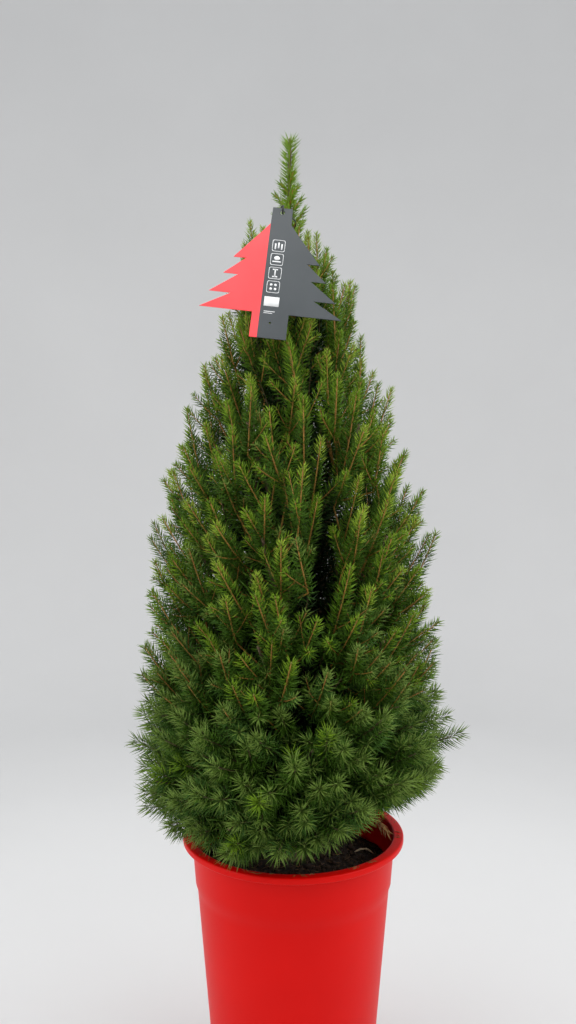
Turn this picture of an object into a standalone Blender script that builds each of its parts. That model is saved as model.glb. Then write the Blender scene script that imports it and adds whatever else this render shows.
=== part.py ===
"""A potted dwarf white spruce: a dense cone of upright shoots in a red nursery pot,
with a fir-shaped hang tag tied to its leader.

Metres, +Z up, the origin on the pot's flat underside, +X to the right as seen
from the front (-Y). The trunk stands whole from the soil to its tip. Limbs leave
it all round and curve upward, and each carries one mass of foliage.
"""

import math
import random

import bmesh
import bpy
import numpy as np
from mathutils import Vector

# Clearance kept between pieces that touch
CLEARANCE = 0.0003
# Points of one body closer than this would read as one
TOUCH = 2e-7

# Pot: a moulded container with a rolled lip and a collar
SIDES = 28
POT_HEIGHT = 0.276
POT_WALL = 0.0015
POT_BASE = 0.002
POT_FOOT_RADIUS = 0.070
POT_FOOT_CHAMFER = 0.003
POT_WAIST_HEIGHT = 0.228
POT_WAIST_RADIUS = 0.0908
POT_STEP_HEIGHT = 0.004
POT_COLLAR_RADIUS = 0.0925
POT_COLLAR_TOP_RADIUS = 0.0958
LIP_RADIUS = 0.1044
LIP_INNER_RADIUS = 0.0949
LIP_DEPTH = 0.006
LIP_ROUNDING = 0.0016
DRAIN_HOLES = 6
DRAIN_HOLE_RADIUS = 0.005
DRAIN_RING_RADIUS = 0.042
STICKER_HEIGHT = 0.028
STICKER_MIDDLE = 0.133
STICKER_THICKNESS = 0.0004
STICKER_FACETS = (0, 1, 2)

# Soil
SOIL_HEIGHT = 0.250
SOIL_EDGE_DROP = 0.005
SOIL_ROUGHNESS = 0.0018
SOIL_SEAT_RADIUS = 0.016

# Trunk: height, radius
TRUNK_TAPER = (
    (SOIL_HEIGHT + CLEARANCE, 0.0125),
    (0.256, 0.0102),
    (0.270, 0.0086),
    (0.380, 0.0076),
    (0.500, 0.0064),
    (0.620, 0.0051),
    (0.740, 0.0036),
    (0.850, 0.0021),
    (0.936, 0.0012),
)
TRUNK_SIDES = 8
TRUNK_LEAN = -0.003
TRUNK_SWAY = 0.002
PLANT_HEIGHT = 0.943

# Crown: height, reach to the right, reach to the left
CROWN_OUTLINE = (
    (0.262, 0.090, 0.114),
    (0.300, 0.116, 0.141),
    (0.330, 0.131, 0.146),
    (0.365, 0.146, 0.150),
    (0.457, 0.141, 0.143),
    (0.560, 0.131, 0.137),
    (0.610, 0.124, 0.123),
    (0.657, 0.105, 0.107),
    (0.705, 0.094, 0.090),
    (0.734, 0.079, 0.082),
    (0.800, 0.060, 0.054),
    (0.849, 0.030, 0.044),
    (0.877, 0.016, 0.018),
)
# Limbs: height of the tip, height where it leaves the trunk
LIMB_RISE = (
    (0.262, 0.296),
    (0.300, 0.306),
    (0.360, 0.326),
    (0.450, 0.380),
    (0.600, 0.475),
    (0.750, 0.610),
    (0.870, 0.770),
)
LIMB_CURVE = 2.0
CROWN_FOOT = 0.274
CROWN_FOOT_RISE = 0.022
CROWN_FOOT_HIGH_SIDE = math.radians(-25)
CROWN_SHOULDER = 0.872

# Tiers from the bottom: name, lowest tip, highest tip, masses, carried on boughs
TIERS = (
    ("skirt", 0.272, 0.358, 6, True),
    ("lower", 0.358, 0.450, 6, True),
    ("middle", 0.450, 0.550, 6, True),
    ("upper", 0.550, 0.655, 5, False),
    ("high", 0.655, 0.760, 4, False),
    ("crest", 0.760, 0.880, 3, False),
)
TIER_TURN = math.radians(37)
BOUGH_SIDES = 4
BOUGH_END = 0.34
BOUGH_RADIUS = 0.0034
BOUGH_TIP_RADIUS = 0.0024
STEM_TIP_RADIUS = 0.0012
STEM_END = 0.80
# Cores: how far in and out they reach, and how much of their mass's height they fill
CORE_FIRST_ON_BOUGH = 0.375
CORE_FIRST_ON_TRUNK = 0.30
CORE_LAST = 0.80
CORE_FILL = 0.84
CORE_MARGIN = 0.007
CORE_ROUNDING = 0.5
CORE_ROUGHNESS = 0.0025
CORE_SKIN = 0.0015
CORE_LEAST_REACH = 0.065

# Shoots: how many, how dense, how long and how wide at a height, and how far each strays
SHOOTS = 250
GOLDEN_ANGLE = math.pi * (3 - math.sqrt(5))
SHOOT_DENSITY = ((0.262, 1.6), (0.365, 1.3), (0.500, 0.9), (0.740, 0.8), (0.870, 1.9))
SHOOT_LENGTH = ((0.262, 0.042), (0.365, 0.050), (0.500, 0.062), (0.870, 0.074))
NEEDLE_REACH = ((0.262, 0.0130), (0.500, 0.0112), (0.870, 0.0095))
LENGTH_SPREAD = (0.82, 1.25)
HEIGHT_SPREAD = 0.008
TURN_SPREAD = 0.08
REACH_SPREAD = 0.055
SHOOT_WANDER = 0.22
LATE_WANDER = 0.4
LIMB_STEP = 0.12
SHOOT_TRIES = 6
PULL_BACK = 0.02
# The brush of needles on a shoot
NEEDLE_LEAN = 0.007
SHOOT_CORE_RADIUS = 0.0032
WHORL_SPACING = 0.017
WHORL_CORNERS = 6
FIRST_WHORL = 0.34
LAST_WHORL = 0.82
FIRST_WHORL_SIZE = 0.75
TWIG_SIDES = 3
TWIG_RADIUS = 0.0014
TWIG_FIRST_ON_BOUGH = 0.40
TWIG_FIRST_ON_TRUNK = 0.22
TWIG_THRIFT = 9.0
TWIG_JOINTS = 9
TWIG_LEAST = 0.004
SHOOT_LEAST = 0.030
SHOOT_CLEARANCE = 0.0007
OWN_SHARE = 0.80
# Long low shoots that stand out of the outline: name, azimuth, height, extra reach
LONG_SHOOTS = (("right", math.radians(-4), 0.366, 0.019), ("left", math.radians(184), 0.362, 0.016))
# Openings in the front of the crown: middle X, middle Z, half width, half height
CROWN_OPENINGS = ((0.026, 0.526, 0.013, 0.025), (0.002, 0.405, 0.007, 0.014))
OPENING_FRONT = -0.03
# Needles round the leader, above and below the tag's tie: foot, tip
LEADERS = (("foliage_leader_tip", 0.855, PLANT_HEIGHT), ("foliage_leader_foot", 0.735, 0.843))
LEADER_REACH = 0.0105
LEADER_SLEEVE_RADIUS = 0.0042
LEADER_SLEEVE_TIP_RADIUS = 0.0026

# Hang tag: a printed sheet cut as a fir tree, half widths by distance from its top
TAG_OUTLINE = (
    (0.0000, 0.0088),
    (0.0161, 0.0092),
    (0.0300, 0.0200),
    (0.0518, 0.0377),
    (0.0518, 0.0266),
    (0.0680, 0.0447),
    (0.0680, 0.0315),
    (0.0862, 0.0549),
    (0.0862, 0.0356),
    (0.1014, 0.0615),
    (0.1014, 0.0158),
    (0.1247, 0.0158),
)
TAG_THICKNESS = 0.0008
TAG_TOP = Vector((-0.0093, -0.0560, 0.8480))
TAG_FOOT = Vector((-0.0226, -0.0830, 0.7275))
TAG_HOLE_DROP = 0.0045
TAG_HOLE_RADIUS = 0.0021
TIE_RADIUS = 0.0007
TIE_POINTS = 22
TIE_GAP = 0.0012

# Colours, as linear red, green and blue
RED_PLASTIC = (0.62, 0.008, 0.006)
PEAT = (0.018, 0.012, 0.009)
BARK = (0.16, 0.095, 0.055)
NEEDLE_GREEN = (0.035, 0.10, 0.018)
TAG_GREY = (0.10, 0.11, 0.12)
TIE_BLACK = (0.01, 0.01, 0.01)
STICKER_WHITE = (0.80, 0.80, 0.78)


def clear_scene():
    for item in list(bpy.data.objects):
        bpy.data.objects.remove(item, do_unlink=True)


def material(name, colour, roughness):
    made = bpy.data.materials.new(name)
    made.use_nodes = True
    shader = made.node_tree.nodes["Principled BSDF"]
    shader.inputs["Base Color"].default_value = (*colour, 1)
    shader.inputs["Roughness"].default_value = roughness
    shader.inputs["Metallic"].default_value = 0
    return made


def object_from(bm, name, finish, smooth=False):
    """Makes an object of a bmesh, with its faces pointing out."""
    bmesh.ops.recalc_face_normals(bm, faces=bm.faces)
    mesh = bpy.data.meshes.new(name)
    bm.to_mesh(mesh)
    bm.free()
    mesh.materials.append(finish)
    if smooth:
        mesh.shade_smooth()
        mesh.set_sharp_from_angle(angle=math.radians(35))
    made = bpy.data.objects.new(name, mesh)
    bpy.context.scene.collection.objects.link(made)
    return made


def table_value(table, at, column=1):
    """Reads a column of a table of named sizes at a height, straight between its rows."""
    rows = np.array(table)
    return float(np.interp(at, rows[:, 0], rows[:, column]))


# Turned pieces


def turned(name, outline, finish):
    """Spins an outline of (radius, height) points that starts and ends on the axis."""
    bm = bmesh.new()
    corners = [bm.verts.new((radius, 0, height)) for radius, height in outline]
    edges = [bm.edges.new(pair) for pair in zip(corners, corners[1:])]
    bmesh.ops.spin(
        bm,
        geom=corners + edges,
        cent=(0, 0, 0),
        axis=(0, 0, 1),
        angle=math.tau,
        steps=SIDES,
        use_merge=True,
    )
    bmesh.ops.remove_doubles(bm, verts=bm.verts, dist=1e-5)
    return object_from(bm, name, finish, smooth=True)


def pot_radius(height):
    """Outer radius of the pot's body below its lip."""
    waist = POT_WAIST_HEIGHT
    if height <= waist:
        return POT_FOOT_RADIUS + (POT_WAIST_RADIUS - POT_FOOT_RADIUS) * height / waist
    share = (height - waist - POT_STEP_HEIGHT) / (POT_HEIGHT - LIP_DEPTH - waist - POT_STEP_HEIGHT)
    return POT_COLLAR_RADIUS + (POT_COLLAR_TOP_RADIUS - POT_COLLAR_RADIUS) * max(share, 0)


def make_pot(finish):
    lip_foot = POT_HEIGHT - LIP_DEPTH
    step_top = POT_WAIST_HEIGHT + POT_STEP_HEIGHT
    outline = (
        (0, 0),
        (POT_FOOT_RADIUS - POT_FOOT_CHAMFER, 0),
        (pot_radius(POT_FOOT_CHAMFER), POT_FOOT_CHAMFER),
        (POT_WAIST_RADIUS, POT_WAIST_HEIGHT),
        (POT_COLLAR_RADIUS, step_top),
        (POT_COLLAR_TOP_RADIUS, lip_foot),
        (LIP_RADIUS - LIP_ROUNDING, lip_foot),
        (LIP_RADIUS, lip_foot + LIP_ROUNDING),
        (LIP_RADIUS, POT_HEIGHT - LIP_ROUNDING),
        (LIP_RADIUS - LIP_ROUNDING, POT_HEIGHT),
        (LIP_INNER_RADIUS + LIP_ROUNDING, POT_HEIGHT),
        (LIP_INNER_RADIUS, POT_HEIGHT - LIP_ROUNDING),
        (POT_COLLAR_TOP_RADIUS - POT_WALL, lip_foot),
        (POT_COLLAR_RADIUS - POT_WALL, step_top),
        (POT_WAIST_RADIUS - POT_WALL, POT_WAIST_HEIGHT),
        (pot_radius(POT_BASE) - POT_WALL, POT_BASE),
        (0, POT_BASE),
    )
    pot = turned("pot", outline, finish)
    drill_drain_holes(pot, finish)
    return pot


def drill_drain_holes(pot, finish):
    """Cuts a ring of round holes through the pot's base."""
    bm = bmesh.new()
    for index in range(DRAIN_HOLES):
        turn = math.tau * (index + 0.5) / DRAIN_HOLES
        made = bmesh.ops.create_cone(
            bm,
            cap_ends=True,
            segments=10,
            radius1=DRAIN_HOLE_RADIUS,
            radius2=DRAIN_HOLE_RADIUS,
            depth=POT_BASE * 3,
        )
        middle = Vector((math.cos(turn), math.sin(turn), 0)) * DRAIN_RING_RADIUS
        bmesh.ops.translate(bm, verts=made["verts"], vec=middle + Vector((0, 0, POT_BASE / 2)))
    cutter = object_from(bm, "drain_hole_cutter", finish)
    cutter.hide_render = True
    cutter.display_type = "WIRE"
    holes = pot.modifiers.new("drain holes", "BOOLEAN")
    holes.operation = "DIFFERENCE"
    holes.object = cutter


def make_soil(finish):
    """The root ball's moist peat, which fills the pot and mounds gently to the trunk."""
    edge = SOIL_HEIGHT - SOIL_EDGE_DROP
    wall = POT_WALL + CLEARANCE
    edge_share = (edge - POT_WAIST_HEIGHT - POT_STEP_HEIGHT) / (
        POT_HEIGHT - LIP_DEPTH - POT_WAIST_HEIGHT - POT_STEP_HEIGHT
    )
    edge_radius = POT_COLLAR_RADIUS + (POT_COLLAR_TOP_RADIUS - POT_COLLAR_RADIUS) * edge_share
    foot = POT_BASE + CLEARANCE
    rings = 4
    outline = [
        (0, foot),
        (pot_radius(foot) - wall - CLEARANCE, foot),
        (POT_WAIST_RADIUS - wall - CLEARANCE, POT_WAIST_HEIGHT - CLEARANCE),
        (POT_COLLAR_RADIUS - wall - CLEARANCE, POT_WAIST_HEIGHT + POT_STEP_HEIGHT),
        (edge_radius - wall - CLEARANCE, edge),
    ]
    for ring in range(1, rings):
        share = ring / rings
        radius = edge_radius - wall - (edge_radius - SOIL_SEAT_RADIUS) * share
        outline.append((radius, edge + SOIL_EDGE_DROP * math.sin(share * math.pi / 2)))
    outline.append((SOIL_SEAT_RADIUS, SOIL_HEIGHT))
    outline.append((0, SOIL_HEIGHT))
    soil = turned("soil", outline, finish)
    draw = random.Random(11)
    for vertex in soil.data.vertices:
        radius = math.hypot(vertex.co.x, vertex.co.y)
        if vertex.co.z > edge - 1e-4 and SOIL_SEAT_RADIUS + 0.001 < radius:
            vertex.co.z += draw.uniform(-1, 0.4) * SOIL_ROUGHNESS
    return soil


def make_sticker(finish):
    """A blank sticker that follows the pot's facets on its right side."""
    bm = bmesh.new()
    low = STICKER_MIDDLE - STICKER_HEIGHT / 2
    high = STICKER_MIDDLE + STICKER_HEIGHT / 2
    columns = []
    for facet in range(STICKER_FACETS[0], STICKER_FACETS[-1] + 2):
        turn = math.tau * facet / SIDES
        away = Vector((math.cos(turn), math.sin(turn), 0))
        column = []
        for lift in (CLEARANCE, CLEARANCE + STICKER_THICKNESS):
            for height in (low, high):
                spot = away * (pot_radius(height) + lift / math.cos(math.pi / SIDES))
                column.append(bm.verts.new((spot.x, spot.y, height)))
        columns.append(column)
    order = (0, 1, 3, 2)
    for near, far in zip(columns, columns[1:]):
        for one, two in zip(order, order[1:] + order[:1]):
            bm.faces.new((near[one], near[two], far[two], far[one]))
    bm.faces.new([columns[0][corner] for corner in order])
    bm.faces.new([columns[-1][corner] for corner in reversed(order)])
    return object_from(bm, "pot_sticker", finish)


# The growth rule, shared by every limb and shoot


def trunk_middle(height):
    """The trunk's middle at a height, with its slight lean and sway."""
    share = (height - SOIL_HEIGHT) / (PLANT_HEIGHT - SOIL_HEIGHT)
    return Vector((
        TRUNK_LEAN * share + TRUNK_SWAY * math.sin(share * math.tau),
        TRUNK_SWAY * (1 - math.cos(share * math.tau)) / 2,
        height,
    ))


def crown_reach(height, azimuth):
    """How far the crown reaches from the trunk at a height, in a direction."""
    right = table_value(CROWN_OUTLINE, height, 1)
    left = table_value(CROWN_OUTLINE, height, 2)
    rightness = (1 + math.cos(azimuth)) / 2
    return left + (right - left) * rightness


def limb_point(tip_height, azimuth, share):
    """A point on the limb that would reach the outline at tip_height, at a share of its reach."""
    root = table_value(LIMB_RISE, tip_height)
    radius = crown_reach(tip_height, azimuth) * share
    height = root + (tip_height - root) * share**LIMB_CURVE
    away = Vector((math.cos(azimuth), math.sin(azimuth), 0))
    return trunk_middle(height) + away * radius


def crown_foot(azimuth):
    """Height of the lowest shoot tips, which leaves soil in view at the front right."""
    return CROWN_FOOT + CROWN_FOOT_RISE * (1 + math.cos(azimuth - CROWN_FOOT_HIGH_SIDE)) / 2


def shoot_plan(index):
    """Where one shoot stands: height and azimuth of its tip, its share of the reach and its draws."""
    draw = random.Random(1000 + index)
    heights = np.linspace(CROWN_FOOT - HEIGHT_SPREAD, CROWN_SHOULDER, 60)
    girth = [crown_reach(height, 0) + crown_reach(height, math.pi) for height in heights]
    area = np.cumsum([wide * table_value(SHOOT_DENSITY, at) for wide, at in zip(girth, heights)])
    part = (index + 0.5) / SHOOTS
    height = float(np.interp(part * area[-1], area, heights)) + draw.uniform(-HEIGHT_SPREAD, HEIGHT_SPREAD)
    azimuth = (index * GOLDEN_ANGLE + draw.uniform(-TURN_SPREAD, TURN_SPREAD)) % math.tau
    share = 1 - abs(draw.gauss(0, REACH_SPREAD))
    return max(height, crown_foot(azimuth)), azimuth, share, draw


def shoot_line(height, azimuth, share, draw, bend=1.0, extra=0.0):
    """A shoot's foot and tip: it points on along its limb, a little out of line."""
    tip = limb_point(height, azimuth, share)
    along = (tip - limb_point(height, azimuth, share - LIMB_STEP)).normalized()
    stray = Vector([draw.uniform(-SHOOT_WANDER, SHOOT_WANDER) * bend for _ in range(3)])
    along = (along + stray).normalized()
    if extra:
        away = Vector((math.cos(azimuth), math.sin(azimuth), 0.1))
        tip = tip + away * extra
        along = (along + away).normalized()
    length = table_value(SHOOT_LENGTH, height) * draw.uniform(*LENGTH_SPREAD) + extra
    return tip - along * length, tip


def in_opening(foot, tip):
    """Whether a shoot would cross one of the gaps seen in the front of the crown."""
    for step in range(5):
        spot = foot + (tip - foot) * step / 4
        for middle, height, half_width, half_height in CROWN_OPENINGS:
            across = (spot.x - middle) / half_width
            upright = (spot.z - height) / half_height
            if spot.y < OPENING_FRONT and across**2 + upright**2 < 1:
                return True
    return False


# Occupied space, as balls that later pieces keep clear of


class Space:
    """Balls along every limb and shoot placed so far, each with its owner's name."""

    def __init__(self):
        self.middles = np.zeros((0, 3))
        self.radii = np.zeros(0)
        self.owners = np.zeros(0, dtype=object)
        self.brushes = np.zeros(0, dtype=bool)

    def add(self, owner, balls, brush=False):
        self.middles = np.vstack([self.middles, [list(middle) for middle, _ in balls]])
        self.radii = np.concatenate([self.radii, [radius for _, radius in balls]])
        self.owners = np.concatenate([self.owners, [owner] * len(balls)])
        self.brushes = np.concatenate([self.brushes, [brush] * len(balls)])

    def clear(self, owner, balls, own_share=0.0):
        """Whether balls miss all that others own, and own brushes at own_share of their size."""
        mine = self.owners == owner
        for middle, radius in balls:
            apart = np.linalg.norm(self.middles - np.array(middle), axis=1)
            needed = self.radii + radius + SHOOT_CLEARANCE
            needed[mine] *= own_share
            needed[mine & ~self.brushes] = 0
            if (apart < needed).any():
                return False
        return True


def balls_along(start, end, radius, end_radius=None, step=0.004):
    end_radius = radius if end_radius is None else end_radius
    count = max(2, int((end - start).length / step) + 1)
    shares = [index / (count - 1) for index in range(count)]
    return [(start.lerp(end, share), radius + (end_radius - radius) * share) for share in shares]


def brush_balls(foot, tip, reach):
    """Balls that hold a shoot's needles, from its bare foot to its tip."""
    whole = balls_along(foot, tip, reach)
    last = len(whole) - 1
    balls = []
    for index, (middle, _) in enumerate(whole):
        share = index / last
        swell = min(1.0, 0.35 + share * 3, 0.45 + (1 - share) * 2.4)
        balls.append((middle, reach * swell))
    return balls


# Limbs and shoots as meshes


def frame_of(direction):
    """Two directions across a limb."""
    helper = Vector((0, 0, 1)) if abs(direction.z) < 0.8 else Vector((1, 0, 0))
    across = direction.cross(helper).normalized()
    return across, direction.cross(across).normalized()


def limb_mesh(bm, points, radii, sides):
    """A tapering limb along points, its ends cut square."""
    rings = []
    across, upright = frame_of((points[1] - points[0]).normalized())
    for index, point in enumerate(points):
        before = points[max(index - 1, 0)]
        after = points[min(index + 1, len(points) - 1)]
        direction = (after - before).normalized()
        across = (across - direction * across.dot(direction)).normalized()
        upright = direction.cross(across).normalized()
        ring = []
        for side in range(sides):
            turn = math.tau * side / sides
            offset = (across * math.cos(turn) + upright * math.sin(turn)) * radii[index]
            ring.append(bm.verts.new(point + offset))
        rings.append(ring)
    for near, far in zip(rings, rings[1:]):
        for side in range(sides):
            following = (side + 1) % sides
            bm.faces.new((near[side], near[following], far[following], far[side]))
    bm.faces.new(list(reversed(rings[0])))
    bm.faces.new(rings[-1])


def brush_mesh(bm, joint, foot, tip, reach, start):
    """A twig that grows on as a shoot: a slim core with needles standing out in staggered whorls."""
    line = tip - foot
    length = line.length
    along = line / length
    across, upright = frame_of(along)
    whorls = max(2, round(length * (LAST_WHORL - FIRST_WHORL) / WHORL_SPACING) + 1)

    def ring_of(middle, corners, spots):
        ring = []
        for corner in range(corners):
            turn = start + math.tau * corner / corners
            out = across * math.cos(turn) + upright * math.sin(turn)
            size, lean = spots(corner)
            ring.append(bm.verts.new(middle + along * lean + out * size))
        return ring

    root = ring_of(joint, TWIG_SIDES, lambda corner: (TWIG_RADIUS, 0))
    rings = []
    for whorl in range(whorls):
        at = length * (FIRST_WHORL + (LAST_WHORL - FIRST_WHORL) * whorl / (whorls - 1))
        size = reach * (FIRST_WHORL_SIZE if whorl == 0 else 1)

        def spots(corner):
            if (corner + whorl) % 2:
                return SHOOT_CORE_RADIUS, 0
            return size, NEEDLE_LEAN * size / reach

        rings.append(ring_of(foot + along * at, WHORL_CORNERS, spots))
    end = bm.verts.new(tip)
    bm.faces.new(list(reversed(root)))
    for side in range(TWIG_SIDES):
        following = (side + 1) % TWIG_SIDES
        one, two, three = (rings[0][(2 * side + k) % WHORL_CORNERS] for k in range(3))
        bm.faces.new((root[side], two, one))
        bm.faces.new((root[side], root[following], two))
        bm.faces.new((root[following], three, two))
    for corner in range(WHORL_CORNERS):
        following = (corner + 1) % WHORL_CORNERS
        bm.faces.new((end, rings[-1][corner], rings[-1][following]))
        for whorl in range(whorls - 1):
            low, high = rings[whorl], rings[whorl + 1]
            if (corner + whorl) % 2:
                bm.faces.new((low[corner], low[following], high[following]))
                bm.faces.new((low[corner], high[following], high[corner]))
            else:
                bm.faces.new((low[corner], low[following], high[corner]))
                bm.faces.new((low[following], high[following], high[corner]))


def core_point(shape, spot):
    """Carries a point of a cube, -1 to 1 each way, into a mass's space, with its corners rounded."""
    low, high, azimuth, half_angle, on_bough = shape
    roundness = (max(abs(part) for part in spot) / max(Vector(spot).length, 1e-6)) ** CORE_ROUNDING
    across, outward, upward = (part * roundness for part in spot)
    first = CORE_FIRST_ON_BOUGH if on_bough else CORE_FIRST_ON_TRUNK
    share = (first + CORE_LAST) / 2 + outward * (CORE_LAST - first) / 2
    height = (low + high) / 2 + upward * CORE_FILL * (high - low) / 2
    room = half_angle - math.asin(min(0.9, CORE_MARGIN / (crown_reach(height, azimuth) * share)))
    return limb_point(height, azimuth + across * max(room, 0.05), share)


def has_core(shape):
    """Only a mass with room round its stem has a core."""
    return crown_reach((shape[0] + shape[1]) / 2, shape[2]) > CORE_LEAST_REACH


def core_mesh(bm, shape, draw):
    """The dense heart of a mass, a rough block in its own space that the shoots stand out of."""
    made = bmesh.ops.create_cube(bm, size=2)
    bmesh.ops.subdivide_edges(bm, edges=bm.edges, cuts=1, use_grid_fill=True)
    for vertex in bm.verts:
        spot = Vector(vertex.co)
        dent = Vector([draw.uniform(-1, 1) for _ in range(3)]) * CORE_ROUGHNESS
        vertex.co = core_point(shape, spot) + dent


def core_balls(shape):
    """Balls over the core's skin."""
    steps = [step / 4 - 1 for step in range(9)]
    balls = []
    for spot in ((x, y, z) for x in steps for y in steps for z in steps):
        if max(abs(part) for part in spot) == 1:
            balls.append((core_point(shape, spot), CORE_ROUGHNESS + CORE_SKIN))
    return balls


def bodies_in(bm):
    """The sets of vertices that hang together in a mesh."""
    left = set(bm.verts)
    bodies = []
    while left:
        queue = [left.pop()]
        body = set(queue)
        while queue:
            for edge in queue.pop().link_edges:
                for vertex in edge.verts:
                    if vertex in left:
                        left.remove(vertex)
                        body.add(vertex)
                        queue.append(vertex)
        bodies.append(body)
    return bodies


def largest_body(mesh):
    """Drops loose scraps and sealed hollows: only the shell with the most vertices is kept."""
    bm = bmesh.new()
    bm.from_mesh(mesh)
    for body in sorted(bodies_in(bm), key=len)[:-1]:
        bmesh.ops.delete(bm, geom=list(body), context="VERTS")
    bmesh.ops.triangulate(bm, faces=bm.faces)
    bm.to_mesh(mesh)
    bm.free()
    return mesh


def is_sound(mesh):
    """Whether a mesh is closed and nowhere touches itself."""
    bm = bmesh.new()
    bm.from_mesh(mesh)
    bmesh.ops.remove_doubles(bm, verts=bm.verts, dist=TOUCH)
    sound = len(bm.faces) > 0 and all(edge.is_manifold for edge in bm.edges)
    bm.free()
    return sound


def union_of(body, group, cutter, solver):
    """A body joined to its group by one Boolean union, with the trunk's room cut out."""
    body.modifiers.clear()
    union = body.modifiers.new("union", "BOOLEAN")
    union.operation = "UNION"
    union.operand_type = "COLLECTION"
    union.collection = group
    union.solver = solver
    if cutter:
        cut = body.modifiers.new("room for the trunk", "BOOLEAN")
        cut.operation = "DIFFERENCE"
        cut.object = cutter
        cut.solver = solver
    evaluated = body.evaluated_get(bpy.context.evaluated_depsgraph_get())
    return largest_body(bpy.data.meshes.new_from_object(evaluated))


def fuse(name, solids, finish, cutter=None):
    """Joins solids into one body. Where it would touch itself, one shoot is left out."""
    body, *others = solids
    group = bpy.data.collections.new(name + " parts")
    for solid in others:
        group.objects.link(solid)
    for left_out in [None, *reversed(others[1:])]:
        if left_out:
            group.objects.unlink(left_out)
        tried = (union_of(body, group, cutter, solver) for solver in ("MANIFOLD", "EXACT"))
        mesh = next((joined for joined in tried if is_sound(joined)), None)
        if mesh:
            break
        if left_out:
            group.objects.link(left_out)
    mesh.name = name
    for solid in solids:
        bpy.data.objects.remove(solid, do_unlink=True)
    bpy.data.collections.remove(group)
    mesh.materials.clear()
    mesh.materials.append(finish)
    made = bpy.data.objects.new(name, mesh)
    bpy.context.scene.collection.objects.link(made)
    return made


# Trunk


def trunk_rings(extra):
    points = [trunk_middle(height) for height, _ in TRUNK_TAPER]
    radii = [radius + extra for _, radius in TRUNK_TAPER]
    return points, radii


def trunk_bmesh(extra, lengthen):
    """The trunk's solid, or with extra the room that foliage leaves round it."""
    bm = bmesh.new()
    points, radii = trunk_rings(extra)
    limb_mesh(bm, points, radii, TRUNK_SIDES)
    for vertex in bm.verts:
        if abs(vertex.co.z - points[0].z) < 0.002:
            vertex.co.z = points[0].z - lengthen
        if abs(vertex.co.z - points[-1].z) < 0.002:
            vertex.co.z += lengthen
    return bm


def make_trunk(finish):
    return object_from(trunk_bmesh(0, 0), "trunk", finish, smooth=True)


def make_trunk_room(finish):
    room = object_from(trunk_bmesh(CLEARANCE * 1.3, CLEARANCE), "trunk_room", finish)
    room.hide_render = True
    room.display_type = "WIRE"
    return room


def trunk_balls():
    points, radii = trunk_rings(0)
    balls = []
    for low, high, thick, thin in zip(points, points[1:], radii, radii[1:]):
        balls += balls_along(low, high, thick, thin)
    return balls


# Boughs and masses


def tier_masses():
    """Each mass: name, tier's lowest and highest tip, middle azimuth, sector's half angle, on a bough."""
    masses = []
    for order, (name, low, high, count, on_bough) in enumerate(TIERS):
        for index in range(count):
            azimuth = (TIER_TURN * order + math.tau * index / count) % math.tau
            masses.append((f"{name}_{index + 1}", low, high, azimuth, math.pi / count, on_bough))
    return masses


def mass_of(height, azimuth, masses):
    """The name of the mass whose tier and sector hold a shoot's tip."""
    for name, low, high, middle, half, _ in masses:
        off = (azimuth - middle + math.pi) % math.tau - math.pi
        if low <= height < high and abs(off) <= half:
            return name
    return None


def limb_run(low, high, azimuth, start, end, steps):
    middle = (low + high) / 2
    return [limb_point(middle, azimuth, start + (end - start) * k / steps) for k in range(steps + 1)]


def bough_points(low, high, azimuth):
    return limb_run(low, high, azimuth, 0.0, BOUGH_END, 4)


def make_bough(name, low, high, azimuth, finish, room):
    """A tapering limb from the trunk's side to where its mass begins."""
    points = bough_points(low, high, azimuth)
    steps = len(points) - 1
    radii = [BOUGH_RADIUS + (BOUGH_TIP_RADIUS - BOUGH_RADIUS) * k / steps for k in range(steps + 1)]
    bm = bmesh.new()
    limb_mesh(bm, points, radii, BOUGH_SIDES)
    bough = object_from(bm, "bough_" + name, finish)
    return outer_part(bough, room, finish, points[-1])


def outer_part(limb, room, finish, tip):
    """Cuts the trunk's room out of a limb and keeps the part that holds its tip."""
    cut = limb.modifiers.new("seat on the trunk", "BOOLEAN")
    cut.operation = "DIFFERENCE"
    cut.object = room
    evaluated = limb.evaluated_get(bpy.context.evaluated_depsgraph_get())
    bm = bmesh.new()
    bm.from_mesh(bpy.data.meshes.new_from_object(evaluated))
    for body in bodies_in(bm):
        if min((vertex.co - tip).length for vertex in body) > BOUGH_RADIUS * 2:
            bmesh.ops.delete(bm, geom=list(body), context="VERTS")
    name = limb.name
    bpy.data.objects.remove(limb, do_unlink=True)
    return object_from(bm, name, finish)


def stem_points(low, high, azimuth, on_bough):
    """The mass's own stem, from 0.3 mm past its bough's tip or from inside the trunk's room."""
    if not on_bough:
        return limb_run(low, high, azimuth, 0.0, STEM_END, 4)
    reach = crown_reach((low + high) / 2, azimuth)
    before = limb_run(low, high, azimuth, BOUGH_END - 0.1, BOUGH_END, 1)
    direction = (before[1] - before[0]).normalized()
    points = limb_run(low, high, azimuth, BOUGH_END, STEM_END, 3)
    points[0] = points[0] + direction * CLEARANCE
    points[1] = points[0] + direction * reach * 0.08
    return points


def twig_joint(stem, foot, tip, draw):
    """Where on its mass's stem a shoot's twig leaves, so that it runs most nearly along the shoot."""
    height, azimuth, on_bough = stem
    along = (tip - foot).normalized()
    first = TWIG_FIRST_ON_BOUGH if on_bough else TWIG_FIRST_ON_TRUNK
    best, best_score = None, -10
    for step in range(TWIG_JOINTS):
        share = first + (STEM_END - 0.05 - first) * (step + draw.uniform(0, 0.6)) / TWIG_JOINTS
        joint = limb_point(height, azimuth, share)
        line = foot - joint
        score = line.normalized().dot(along) - line.length * TWIG_THRIFT
        if score > best_score:
            best, best_score = joint, score
    return best


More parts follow.
